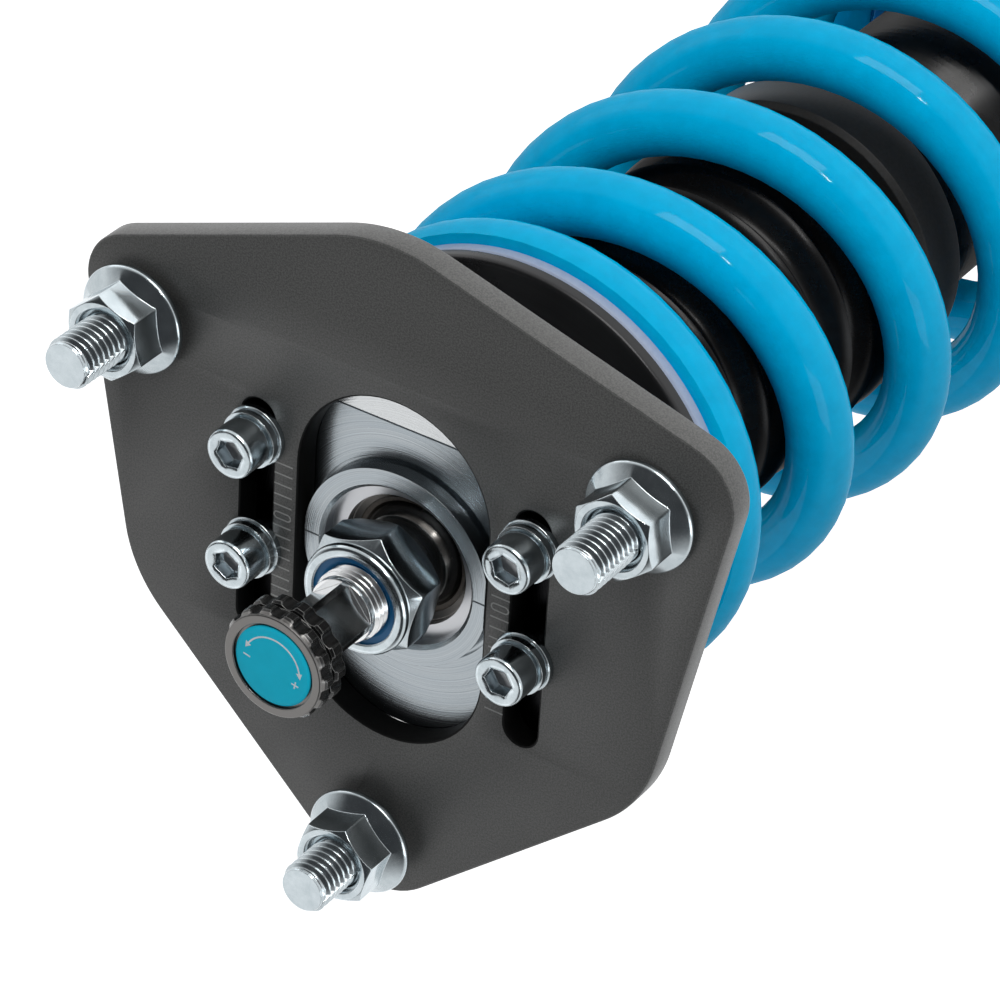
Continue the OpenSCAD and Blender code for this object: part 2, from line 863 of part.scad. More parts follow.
module gland_nut() {
  color(c_steel)
  at_rod()
  difference() {
    turned([[rod_r + 1, body_top - 8], [tube_r, body_top - 8],
      [tube_r, body_top], [body_r, body_top], [body_r, gland_top - 1],
      [body_r - 1, gland_top], [rod_r + 5, gland_top],
      [rod_r + 5, gland_top - 5], [rod_r + 1, gland_top - 5]], 96);
    for (k = [0 : 3])
      rotate([0, 0, 90 * k + 45])
        translate([20.5, 0, gland_top - 3]) cylinder(r = 2, h = 5, $fn = 24);
  }
}

module rod_wiper() {
  color(c_dark)
  at_rod()
  turned([[rod_r + fit, gland_top + 1.6], [rod_r + 1.2, gland_top + 1.6],
    [rod_r + 2.6, gland_top], [rod_r + 5, gland_top],
    [rod_r + 5, gland_top - 5], [rod_r + 1.2, gland_top - 5],
    [rod_r + fit, gland_top - 1.5]], 64);
}

module rod_guide() {
  color([0.62, 0.64, 0.66])
  at_rod()
  difference() {
    turned([[rod_r + fit, guide_end], [tube_r - 1, guide_end],
      [tube_r, guide_end + 1], [tube_r, body_top - 8.05],
      [rod_r + fit, body_top - 8.05]], 96);
    turned([[tube_r - 1.8, guide_end + 9], [30, guide_end + 9],
      [30, guide_end + 12.5], [tube_r - 1.8, guide_end + 12.5]], 96);
  }
}

module gland_oring() {
  color(c_dark)
  at_rod()
  rotate_extrude($fn = 64)
    translate([tube_r - 0.9, guide_end + 10.75]) circle(r = 0.88, $fn = 24);
}

module floating_piston() {
  color(c_steel)
  at_rod()
  difference() {
    turned([[0, float_z], [tube_r - 0.9, float_z],
      [tube_r - 0.05, float_z + 0.9], [tube_r - 0.05, float_z + float_h - 0.9],
      [tube_r - 0.9, float_z + float_h], [14, float_z + float_h],
      [12, float_z + 7], [0, float_z + 7]], 96);
    turned([[tube_r - 1.8, float_z + 8], [30, float_z + 8],
      [30, float_z + 11.5], [tube_r - 1.8, float_z + 11.5]], 96);
  }
}

module floating_oring() {
  color(c_dark)
  at_rod()
  rotate_extrude($fn = 64)
    translate([tube_r - 0.9, float_z + 9.75]) circle(r = 0.88, $fn = 24);
}

module base_plug() {
  color(c_steel)
  at_rod()
  difference() {
    turned([[0, body_end - 3], [tube_r + 1.5, body_end - 3],
      [body_r - 1, body_end], [tube_r, body_end], [tube_r, body_end + plug_h],
      [0, body_end + plug_h]], 96);
    translate([0, 0, body_end - 4])
      cylinder(r = 4, h = plug_h + 6, $fn = 32);
    for (k = [0 : 1])
      rotate([0, 0, 180 * k])
        translate([14, 0, body_end - 4]) cylinder(r = 2, h = 6, $fn = 24);
  }
}

module gas_screw() {
  color(c_zinc)
  at_rod()
  translate([0, 0, body_end - 3])
    difference() {
      cylinder(r = 4, h = 12, $fn = 32);
      translate([0, 0, -1]) hexagon(4, 4);
    }
}

// ---- Spring perch -------------------------------------------------------

module slip_ring() {
  color(c_nylon)
  at_rod()
  turned([[pilot_r + 0.1, perch_top], [slip_r, perch_top],
    [slip_r, spring_foot], [pilot_r + 0.1, spring_foot]], 96);
}

module spanner_slots(r, z0, z1, n = 6, w = 7, d = 3.2) {
  for (k = [0 : n - 1])
    rotate([0, 0, k * 360 / n])
      translate([r - d, -w / 2, z0]) cube([3 * d, w, z1 - z0]);
}

module spring_perch() {
  color(c_blue * 0.8)
  at_rod()
  difference() {
    turned([[body_r + fit, perch_top - perch_l],
      [collar_od - 1, perch_top - perch_l],
      [collar_od, perch_top - perch_l + 1],
      [collar_od, perch_top - perch_flange_t - 3],
      [collar_od + 3, perch_top - perch_flange_t],
      [perch_r - 1, perch_top - perch_flange_t],
      [perch_r, perch_top - perch_flange_t + 1],
      [perch_r, perch_top - 1], [perch_r - 1, perch_top - fit],
      [pilot_r, perch_top - fit], [pilot_r, spring_foot + 5],
      [pilot_r - 1.5, spring_foot + 7], [body_r + fit, spring_foot + 7]], 96);
    spanner_slots(collar_od, perch_top - perch_l - 1, perch_top - 12);
  }
}

module perch_lock_ring() {
  color(c_blue * 0.8)
  at_rod()
  difference() {
    turned([[body_r + fit, lock_z - lock_l], [collar_od - 1, lock_z - lock_l],
      [collar_od, lock_z - lock_l + 1], [collar_od, lock_z - 1],
      [collar_od - 1, lock_z], [body_r + fit, lock_z]], 96);
    spanner_slots(collar_od, lock_z - lock_l - 1, lock_z + 1);
  }
}

// ---- Lower bracket ------------------------------------------------------

module bracket_lock_ring() {
  color(c_blue * 0.8)
  at_rod()
  difference() {
    turned([[body_r + fit, bracket_top + fit],
      [collar_od - 1, bracket_top + fit],
      [collar_od, bracket_top + 1], [collar_od, bracket_top + lock_l - 1],
      [collar_od - 1, bracket_top + lock_l],
      [body_r + fit, bracket_top + lock_l]], 96);
    spanner_slots(collar_od, bracket_top - 1, bracket_top + lock_l + 1);
  }
}

module lower_bracket() {
  bot = bracket_top - bracket_l;
  color(c_black)
  at_rod()
  difference() {
    union() {
      translate([0, 0, bot])
        cylinder(r = sleeve_r, h = bracket_l, $fn = 96);
      for (s = [-1, 1])
        translate([s * (ear_gap / 2 + ear_t / 2) - ear_t / 2, 0, 0])
          rotate([90, 0, 90])
            linear_extrude(ear_t)
              polygon(rounded([[ear_y0, bracket_top - 4, 2],
                [ear_y1 + 14, bracket_top - 4, 12],
                [ear_y1, hole_mid + bolt_gap / 2 - 4, 14],
                [ear_y1, hole_mid - bolt_gap / 2 + 4, 14],
                [ear_y1 + 14, bot + 4, 12], [ear_y0, bot + 4, 2]], 6));
      translate([tab1_x - tab1_w / 2, sleeve_r - tab_reach,
                 bracket_top - tab1_drop - tab_t])
        cube([tab1_w, 3 * tab_reach - 1, tab_t]);
      translate([sleeve_r - tab_reach, -tab2_w / 2,
                 bracket_top - tab2_drop - tab_t])
        cube([3 * tab_reach - 1, tab2_w, tab_t]);
    }
    translate([0, 0, bot - 1])
      cylinder(r = body_r + fit, h = bracket_l + 2, $fn = 96);
    translate([-ear_gap / 2, ear_y1 - 5, bot - 1])
      cube([ear_gap, -ear_y1 - sleeve_r + 5.01, bracket_l + 2]);
    for (s = [-1, 1])
      translate([0, hole_y, hole_mid + s * bolt_gap / 2])
        rotate([0, 90, 0])
          translate([0, 0, -60]) cylinder(r = bolt_d / 2, h = 120, $fn = 48);
    translate([tab1_x, sleeve_r + tab_reach, bracket_top - tab1_drop - 10])
      cylinder(r = tab1_r, h = 20, $fn = 32);
    translate([sleeve_r + tab_reach, 0, bracket_top - tab2_drop - 10])
      cylinder(r = tab2_r, h = 20, $fn = 32);
  }
}

camber_plate();
mount_studs();
mount_nuts();
slider_plate();
slider_screws();
spring_washers();
flat_washers();
bearing_race();
race_clip();
bearing_liner();
bearing_ball();
piston_rod();
rod_nut();
nut_insert();
upper_spacer();
lower_spacer();
upper_seat();
isolator_ring();
main_spring();
bump_stop();
dust_boot();
piston();
piston_band();
piston_nut();
compression_shims();
rebound_shims();
adjuster_knob();
knob_label();
knob_screw();
adjuster_rod();
body_tube();
boot_cuff();
gland_nut();
rod_wiper();
rod_guide();
gland_oring();
floating_piston();
floating_oring();
base_plug();
gas_screw();
slip_ring();
spring_perch();
perch_lock_ring();
lower_bracket();
bracket_lock_ring();
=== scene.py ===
"""Looks of a height-adjustable strut: its finishes, threads, coil, boot and knob, and the stage."""

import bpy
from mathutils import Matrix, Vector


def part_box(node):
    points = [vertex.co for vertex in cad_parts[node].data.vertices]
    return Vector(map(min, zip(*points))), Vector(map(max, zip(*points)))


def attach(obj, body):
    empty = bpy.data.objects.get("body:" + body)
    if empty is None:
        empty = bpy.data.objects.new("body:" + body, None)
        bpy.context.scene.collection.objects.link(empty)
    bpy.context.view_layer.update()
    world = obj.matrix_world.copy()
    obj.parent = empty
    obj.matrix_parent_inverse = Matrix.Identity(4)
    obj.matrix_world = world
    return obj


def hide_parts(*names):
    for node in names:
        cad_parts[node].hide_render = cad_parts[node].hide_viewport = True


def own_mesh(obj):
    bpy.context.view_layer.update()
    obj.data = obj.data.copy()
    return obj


bl_info = {
    "name": "Strut Assembly Looks",
    "version": (1, 0, 0),
    "blender": (4, 5, 0),
    "location": "View3D > Sidebar > Strut",
    "description": "Builds the visible pieces and finishes of a coilover strut around its packed frame",
    "category": "Object",
}

import math

import bmesh
import bpy
from mathutils import Matrix, Vector
from mathutils.geometry import tessellate_polygon

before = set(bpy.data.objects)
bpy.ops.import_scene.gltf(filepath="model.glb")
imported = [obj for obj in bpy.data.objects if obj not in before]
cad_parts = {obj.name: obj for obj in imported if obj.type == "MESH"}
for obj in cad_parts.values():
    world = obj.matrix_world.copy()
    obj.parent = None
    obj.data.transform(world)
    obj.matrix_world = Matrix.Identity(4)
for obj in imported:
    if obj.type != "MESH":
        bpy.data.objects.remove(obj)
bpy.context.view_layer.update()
MM = 0.001
TAU = 2 * math.pi

# Row frame, millimetres: the origin is the stud circle's centre on the plate's upper face.
ROD = (2.1, -2.7)
PLATE_T = 5.5
OPENING_R, OPENING_L = 20.4, 72.0
SLOT_X, SLOT_R, SLOT_L = 29.5, 3.5, 50.4
SLIDER_FACE_X = 21.4
BEVEL_Y = 27.4
STUD_R = 5.0
STUD_SHANK = 5.25
STUD_RING = 62.0
STUD_ANGLES = (150.7, 30.7, 270.7)
NUT_LIFT = (1.4, 0.4, 2.9)
NUT_TURN = (40.0, 38.0, 15.0)
SCREWS = [(side * 29.55, y) for side in (-1, 1) for y in (17.95, -6.2)]
ROD_THREAD_R = 7.0
KNOB_Z = 28.9
KNOB_TOP = 36.2
DOME_R, DOME_RISE = 7.6, 0.22
SPRING_TOP = -44.0
SPRING_FOOT = -238.93
SPRING_START = 210.0
BOOT_TOP = -46.0
BOOT_END = -140.0
BOOT_TAIL = -145.0
BODY_TOP = -156.0
BODY_END = -474.0
CAMERA_FROM_ROD = (399.68, 514.59, 619.17)


# ---- Mesh building -------------------------------------------------------

def new_piece(name, bm, body, finishes, replaces=(), sharp=35.0, bevel=0.0):
    """Turns a bmesh in millimetres into a piece with its finishes, by key, that rides on a body."""
    bmesh.ops.remove_doubles(bm, verts=bm.verts, dist=1e-5)
    bmesh.ops.dissolve_degenerate(bm, edges=bm.edges, dist=1e-6)
    bmesh.ops.recalc_face_normals(bm, faces=bm.faces)
    bmesh.ops.scale(bm, vec=(MM, MM, MM), verts=bm.verts)
    mesh = bpy.data.meshes.new(name)
    bm.to_mesh(mesh)
    bm.free()
    piece = bpy.data.objects.new(name, mesh)
    bpy.context.scene.collection.objects.link(piece)
    for key in finishes:
        mesh.materials.append(MATERIALS[key])
    if bevel:
        mod = piece.modifiers.new("Edge rounding", "BEVEL")
        mod.width = bevel * MM
        mod.segments = 2
        mod.limit_method = "ANGLE"
        mod.angle_limit = math.radians(sharp)
        mod.harden_normals = False
        mod.miter_outer = "MITER_ARC"
        bake_modifiers(piece)
    mesh = piece.data
    mesh.shade_smooth()
    mesh.set_sharp_from_angle(angle=math.radians(sharp))
    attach(piece, body)
    if replaces:
        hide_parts(*replaces)
    return piece


def bake_modifiers(piece):
    """Applies a piece's modifiers to its mesh."""
    graph = bpy.context.evaluated_depsgraph_get()
    graph.update()
    done = bpy.data.meshes.new_from_object(piece.evaluated_get(graph))
    old = piece.data
    piece.modifiers.clear()
    piece.data = done
    done.name = old.name
    bpy.data.meshes.remove(old)


def turn(bm, rows, count, centre=(0.0, 0.0), part=0, wrap=False):
    """Skins rows of (radius, height), or functions of the angle that give them, round an axis along Z."""
    cx, cy = centre
    rings = []
    for row in rows:
        ring = []
        for i in range(count):
            a = TAU * i / count
            r, z = row(a) if callable(row) else row
            if r <= 1e-6 and not callable(row):
                if not ring:
                    ring = [bm.verts.new((cx, cy, z))] * count
                break
            ring.append(bm.verts.new((cx + r * math.cos(a), cy + r * math.sin(a), z)))
        rings.append(ring)
    pairs = list(zip(rings, rings[1:]))
    if wrap:
        pairs.append((rings[-1], rings[0]))
    for low, high in pairs:
        for i in range(count):
            j = (i + 1) % count
            corners = []
            for v in (low[i], low[j], high[j], high[i]):
                if v not in corners:
                    corners.append(v)
            if len(corners) > 2:
                bm.faces.new(corners).material_index = part
    return rings


def hex_radius(angle, flats, turned=0.0):
    """Distance from the axis to a hexagon's side at an angle."""
    a = (angle - math.radians(turned)) % (math.pi / 3)
    return flats / 2 / math.cos(a - math.pi / 6)


def thread_rows(radius, depth, pitch, low, high, steps=6, flat=0.22, chamfer=None):
    """Rows of a helical thread between two heights."""
    rows = []
    total = int(round((high - low) / pitch * steps)) + steps
    for k in range(total + 1):
        def row(a, k=k):
            z = low + (k / steps - 1 + a / TAU) * pitch
            s = (k / steps) % 1.0
            crest = max(0.0, min(1.0, (abs(s - 0.5) * 2 - flat) / (1 - 2 * flat)))
            r = radius - depth * crest
            if z < low or z > high:
                z = min(max(z, low), high)
            if chamfer:
                r = min(r, radius - max(0.0, chamfer - (high - z)))
            return r, z
        rows.append(row)
    return rows


def polar(r, degrees):
    a = math.radians(degrees)
    return r * math.cos(a), r * math.sin(a)


def arc(cx, cy, r, start, end, steps):
    points = [polar(r, start + (end - start) * k / steps) for k in range(steps + 1)]
    return [(cx + x, cy + y) for x, y in points]


def rounded_loop(corners, steps=14):
    """Outline with each (x, y, radius) corner rounded."""
    loop = []
    n = len(corners)
    for i, (x, y, r) in enumerate(corners):
        b = Vector((x, y))
        u = (Vector(corners[i - 1][:2]) - b).normalized()
        v = (Vector(corners[(i + 1) % n][:2]) - b).normalized()
        half = u.angle(v) / 2
        m = b + (u + v).normalized() * r / math.sin(half)
        s, t = b + u * r / math.tan(half) - m, b + v * r / math.tan(half) - m
        a0 = math.atan2(s.y, s.x)
        w = (math.atan2(t.y, t.x) - a0 + 3 * math.pi) % TAU - math.pi
        turns = [a0 + w * k / steps for k in range(steps + 1)]
        loop += [(m.x + r * math.cos(a), m.y + r * math.sin(a)) for a in turns]
    return loop


def stadium_loop(cx, cy, r, length, steps=24):
    h = length / 2 - r
    return arc(cx, cy + h, r, 0, 180, steps) + arc(cx, cy - h, r, 180, 360, steps)


def circle_loop(cx, cy, r, steps=48):
    return arc(cx, cy, r, 0, 360, steps)[:-1]


def stud_centres():
    """Places of the three mounting studs on their circle."""
    return [polar(STUD_RING, a) for a in STUD_ANGLES]


def grown(loop, d):
    """The loop pushed outwards by d, seen as a closed outline."""
    area = sum(a[0] * b[1] - b[0] * a[1] for a, b in zip(loop, loop[1:] + loop[:1]))
    side = 1 if area > 0 else -1
    out = []
    n = len(loop)
    for i in range(n):
        p, q, s = Vector(loop[i - 1]), Vector(loop[i]), Vector(loop[(i + 1) % n])
        e = (q - p).normalized() + (s - q).normalized()
        e.normalize()
        out.append((q.x + side * d * e.y, q.y - side * d * e.x))
    return out


def plate_slab(bm, outer, holes, top, bottom, round_over=0.4, part=0):
    """A flat plate with softened edges: hole walls take the next material, the outer wall the one after."""
    loops = [(outer, 1)] + [(h, -1) for h in holes]
    corner = round_over * 0.3
    levels = ((round_over, bottom), (corner, bottom + corner), (0, bottom + round_over),
              (0, top - round_over), (corner, top - corner), (round_over, top))
    caps = {}
    for loop, sign in loops:
        wall = part + 2 if sign > 0 else part + 1
        rings = []
        for inset, z in levels:
            pts = grown(loop, -sign * inset) if inset else loop
            rings.append([bm.verts.new((x, y, z)) for x, y in pts])
        for low, high in zip(rings, rings[1:]):
            for i in range(len(loop)):
                j = (i + 1) % len(loop)
                bm.faces.new((low[i], low[j], high[j], high[i])).material_index = wall
        caps.setdefault("bottom", []).append(rings[0])
        caps.setdefault("top", []).append(rings[-1])
    for rings in caps.values():
        flat = [v for ring in rings for v in ring]
        for tri in tessellate_polygon([[v.co for v in ring] for ring in rings]):
            bm.faces.new([flat[i] for i in tri]).material_index = part


def block(bm, x0, x1, y0, y1, z0, z1, part=0):
    v = [bm.verts.new((x, y, z)) for x in (x0, x1) for y in (y0, y1) for z in (z0, z1)]
    for f in ((0, 1, 3, 2), (4, 6, 7, 5), (0, 4, 5, 1), (2, 3, 7, 6), (0, 2, 6, 4), (1, 5, 7, 3)):
        bm.faces.new([v[i] for i in f]).material_index = part


# ---- Shader groups -------------------------------------------------------

FLOAT = "NodeSocketFloat"
VECTOR = "NodeSocketVector"


def group(name, inputs, outputs):
    """A shader node group that puts out only values, colours and normals."""
    tree = bpy.data.node_groups.new(name, "ShaderNodeTree")
    for label, kind, default in inputs:
        tree.interface.new_socket(name=label, in_out="INPUT", socket_type=kind).default_value = default
    for label, kind in outputs:
        tree.interface.new_socket(name=label, in_out="OUTPUT", socket_type=kind)
    return tree, tree.nodes.new("NodeGroupInput"), tree.nodes.new("NodeGroupOutput")


def add(tree, kind, **values):
    node = tree.nodes.new("ShaderNode" + kind)
    for key, value in values.items():
        setattr(node, key, value)
    return node


def math_node(tree, operation, a, b=0.5, clamp=False):
    node = add(tree, "Math", operation=operation, use_clamp=clamp)
    for socket, value in zip(node.inputs, (a, b)):
        if isinstance(value, (int, float)):
            socket.default_value = value
        else:
            tree.links.new(value, socket)
    return node.outputs[0]


def noise(tree, vector, scale, detail=3.0, rough=0.5):
    node = add(tree, "TexNoise")
    node.inputs["Scale"].default_value = scale
    node.inputs["Detail"].default_value = detail
    node.inputs["Roughness"].default_value = rough
    tree.links.new(vector, node.inputs["Vector"])
    return node.outputs["Fac"]


def spread(tree, value, low, high):
    """Stretches a value so that low gives 0 and high gives 1."""
    node = add(tree, "MapRange")
    node.inputs["From Min"].default_value = low
    node.inputs["From Max"].default_value = high
    tree.links.new(value, node.inputs["Value"])
    return node


def scaled_place(tree, scale):
    """The object's own coordinates times a scale."""
    scaled = add(tree, "VectorMath", operation="SCALE")
    tree.links.new(add(tree, "TexCoord").outputs["Object"], scaled.inputs[0])
    tree.links.new(scale, scaled.inputs["Scale"])
    return scaled.outputs[0]


def seen_rays(tree):
    """1 for camera, glossy and transmission rays, 0 for those that only light the part."""
    path = add(tree, "LightPath")
    seen = math_node(tree, "MAXIMUM", path.outputs["Is Camera Ray"], path.outputs["Is Glossy Ray"])
    return math_node(tree, "MAXIMUM", seen, path.outputs["Is Transmission Ray"])


def grain_group():
    """A fine speckle in space, round 0.5."""
    tree, gin, gout = group("Fine grain", [("Scale", FLOAT, 3000.0), ("Contrast", FLOAT, 1.0)],
                            [("Value", FLOAT)])
    speckle = noise(tree, scaled_place(tree, gin.outputs["Scale"]), 1.0, 4.0, 0.65)
    centred = math_node(tree, "SUBTRACT", speckle, 0.5)
    strong = math_node(tree, "MULTIPLY", centred, gin.outputs["Contrast"])
    tree.links.new(math_node(tree, "ADD", strong, 0.5), gout.inputs[0])
    return tree


def turning_group():
    """Fine rings round an axis along Z, and a broad streaky change of tone."""
    tree, gin, gout = group("Turning marks", [("Centre", VECTOR, (0, 0, 0)), ("Scale", FLOAT, 2500.0)],
                            [("Value", FLOAT), ("Broad", FLOAT)])
    off = add(tree, "VectorMath", operation="SUBTRACT")
    tree.links.new(add(tree, "TexCoord").outputs["Object"], off.inputs[0])
    tree.links.new(gin.outputs["Centre"], off.inputs[1])
    parts = add(tree, "SeparateXYZ")
    tree.links.new(off.outputs[0], parts.inputs[0])
    x2 = math_node(tree, "MULTIPLY", parts.outputs[0], parts.outputs[0])
    y2 = math_node(tree, "MULTIPLY", parts.outputs[1], parts.outputs[1])
    radius = math_node(tree, "SQRT", math_node(tree, "ADD", x2, y2))
    fine = add(tree, "TexNoise", noise_dimensions="1D")
    fine.inputs["Detail"].default_value = 3.0
    fine.inputs["Scale"].default_value = 1.0
    tree.links.new(math_node(tree, "MULTIPLY", radius, gin.outputs["Scale"]), fine.inputs["W"])
    tree.links.new(fine.outputs["Fac"], gout.inputs[0])
    angle = math_node(tree, "ARCTAN2", parts.outputs[1], parts.outputs[0])
    both = add(tree, "CombineXYZ")
    tree.links.new(math_node(tree, "MULTIPLY", radius, 900.0), both.inputs[0])
    tree.links.new(math_node(tree, "MULTIPLY", angle, 0.9), both.inputs[1])
    broad = add(tree, "TexNoise", noise_dimensions="2D")
    broad.inputs["Scale"].default_value = 1.0
    broad.inputs["Detail"].default_value = 2.0
    tree.links.new(both.outputs[0], broad.inputs["Vector"])
    tree.links.new(broad.outputs["Fac"], gout.inputs[1])
    return tree


def handling_group():
    """Soft cloudy changes of polish."""
    sockets = [("Scale", FLOAT, 60.0), ("Low", FLOAT, 0.2), ("High", FLOAT, 0.3)]
    tree, gin, gout = group("Handling marks", sockets, [("Value", FLOAT)])
    clouds = spread(tree, noise(tree, scaled_place(tree, gin.outputs["Scale"]), 1.0, 5.0, 0.6), 0.3, 0.7)
    tree.links.new(gin.outputs["Low"], clouds.inputs["To Min"])
    tree.links.new(gin.outputs["High"], clouds.inputs["To Max"])
    tree.links.new(clouds.outputs[0], gout.inputs[0])
    return tree


def wear_group():
    """Rubbed edges and painted edge highlights: a mask where a rounded normal leaves the true one, broken
    up by noise, and the rounded normal itself.
    """
    tree, gin, gout = group("Edge wear", [("Radius", FLOAT, 0.0005), ("Amount", FLOAT, 1.0)],
                            [("Mask", FLOAT), ("Normal", VECTOR)])
    bevel = add(tree, "Bevel", samples=6)
    tree.links.new(gin.outputs["Radius"], bevel.inputs["Radius"])
    dot = add(tree, "VectorMath", operation="DOT_PRODUCT")
    tree.links.new(bevel.outputs[0], dot.inputs[0])
    tree.links.new(add(tree, "NewGeometry").outputs["Normal"], dot.inputs[1])
    edge = spread(tree, dot.outputs["Value"], 0.995, 0.85).outputs[0]
    edge_noise = noise(tree, add(tree, "TexCoord").outputs["Object"], 900.0, 3.0)
    broken = math_node(tree, "MULTIPLY", edge, math_node(tree, "ADD", edge_noise, 0.35), clamp=True)
    tree.links.new(math_node(tree, "MULTIPLY", broken, gin.outputs["Amount"], clamp=True), gout.inputs[0])
    tree.links.new(bevel.outputs[0], gout.inputs[1])
    return tree


GROUPS = {}
MATERIALS = {}


class Finish:
    """One procedural material: a Principled shader fed by shared groups."""

    def __init__(self, name, colour, rough, metallic=0.0, coat=0.0, coat_rough=0.1, specular=0.5):
        self.material = bpy.data.materials.new(name)
        self.material.use_nodes = True
        self.tree = self.material.node_tree
        self.shader = self.tree.nodes["Principled BSDF"]
        self.colour = colour
        s = self.shader.inputs
        s["Base Color"].default_value = (*colour, 1)
        s["Roughness"].default_value = rough
        s["Metallic"].default_value = metallic
        s["Coat Weight"].default_value = coat
        s["Coat Roughness"].default_value = coat_rough
        s["Specular IOR Level"].default_value = specular
        self.base = None
        self.normal = None

    def use(self, key, **values):
        node = self.tree.nodes.new("ShaderNodeGroup")
        node.node_tree = GROUPS[key]
        for label, value in values.items():
            node.inputs[label].default_value = value
        return node

    def tint(self, mask, colour, strength=1.0):
        """Blends the base colour towards another one by a mask."""
        mix = add(self.tree, "Mix", data_type="RGBA")
        if strength != 1.0:
            mask = math_node(self.tree, "MULTIPLY", mask, strength, clamp=True)
        self.tree.links.new(mask, mix.inputs[0])
        if self.base is None:
            mix.inputs[6].default_value = (*self.colour, 1)
        else:
            self.tree.links.new(self.base, mix.inputs[6])
        mix.inputs[7].default_value = (*colour, 1)
        self.base = mix.outputs[2]
        return self

    def beyond(self, axis, distance, colour, soft=0.4, both_ways=False):
        """Tints what lies further than a distance, in millimetres, from the rod's axis along X or Y."""
        parts = add(self.tree, "SeparateXYZ")
        self.tree.links.new(add(self.tree, "TexCoord").outputs["Object"], parts.inputs[0])
        away = math_node(self.tree, "SUBTRACT", parts.outputs[axis], ROD[axis] * MM)
        if both_ways:
            away = math_node(self.tree, "ABSOLUTE", away)
        return self.tint(spread(self.tree, away, distance * MM, (distance + soft) * MM).outputs[0], colour)

    def speckle(self, scale, contrast, dark, light):
        """Lets the base colour vary between a dark and a light one by the grain."""
        grain = self.use("grain", Scale=scale, Contrast=contrast)
        mix = add(self.tree, "Mix", data_type="RGBA")
        mix.inputs[6].default_value = (*dark, 1)
        mix.inputs[7].default_value = (*light, 1)
        self.tree.links.new(spread(self.tree, grain.outputs[0], 0.3, 0.7).outputs[0], mix.inputs[0])
        self.base = mix.outputs[2]
        return self

    def polish(self, scale, low, high):
        """Lets the roughness wander between two values."""
        g = self.use("handling", Scale=scale, Low=low, High=high)
        self.tree.links.new(g.outputs[0], self.shader.inputs["Roughness"])
        return self

    def rounded(self, radius, wear=0.0, worn_and_highlight_colour=(0.5, 0.5, 0.5)):
        """Softens edges in the shading and, where asked, paints them another colour, partly for rubbed
        edges and partly as a painted highlight along them.
        """
        g = self.use("wear", Radius=radius * MM, Amount=wear)
        self.normal = g.outputs["Normal"]
        if wear:
            self.tint(g.outputs["Mask"], worn_and_highlight_colour)
        return self

    def bump(self, value, strength, distance):
        node = add(self.tree, "Bump")
        node.inputs["Strength"].default_value = strength
        node.inputs["Distance"].default_value = distance * MM
        self.tree.links.new(value, node.inputs["Height"])
        if self.normal is not None:
            self.tree.links.new(self.normal, node.inputs["Normal"])
        self.normal = node.outputs[0]
        return self

    def grain_bump(self, scale, strength, distance):
        return self.bump(self.use("grain", Scale=scale, Contrast=1.0).outputs[0], strength, distance)

    def rings_bump(self, scale, strength, distance, centre=ROD):
        g = self.use("turning", Scale=scale, Centre=(centre[0] * MM, centre[1] * MM, 0))
        self.bump(g.outputs[0], strength, distance)
        return g

    def done(self, key):
        """Links what was built up and keeps the finish under its key."""
        if self.base is not None:
            self.tree.links.new(self.base, self.shader.inputs["Base Color"])
        if self.normal is not None:
            self.tree.links.new(self.normal, self.shader.inputs["Normal"])
        MATERIALS[key] = self.material


def plate_finishes(plate):
    """The camber plate's face, its outer wall painted lighter as painted light, its slot walls painted
    near-black as painted shade, and its etched lines.
    """
    f = Finish("Graphite plate", plate, 0.42, 0.0, specular=0.45)
    f.speckle(2900.0, 2.0, [c * 0.66 for c in plate], [c * 1.36 for c in plate])
    # Rounded edges painted light grey: a painted highlight line along the plate's edges.
    f.rounded(0.25, 0.8, (0.34, 0.335, 0.33)).grain_bump(3400.0, 0.45, 0.07)
    f.polish(38.0, 0.38, 0.5)
    f.done("plate")

    # Outer wall: the plate's graphite painted 1.5 times lighter, painted light for the light falling on the
    # wall.
    f = Finish("Plate wall painted light", [c * 1.5 for c in plate], 0.42, specular=0.5)
    f.speckle(2900.0, 2.0, [c * 1.1 for c in plate], [c * 1.9 for c in plate]).grain_bump(3400.0, 0.4, 0.06)
    f.done("plate_wall_painted_light")

    # Hole walls: painted near-black, painted shade for the shade inside the opening and slots.
    f = Finish("Slot wall painted shade", (0.004, 0.004, 0.004), 0.5, specular=0.1)
    f.speckle(3000.0, 1.2, (0.003, 0.003, 0.003), (0.006, 0.006, 0.006)).grain_bump(3000.0, 0.25, 0.04)
    f.done("slot_wall_painted_shade")

    f = Finish("Etched marks", (0.30, 0.30, 0.29), 0.55)
    f.speckle(5200.0, 1.2, (0.20, 0.20, 0.195), (0.38, 0.38, 0.37)).grain_bump(5000.0, 0.3, 0.03)
    f.done("etched")


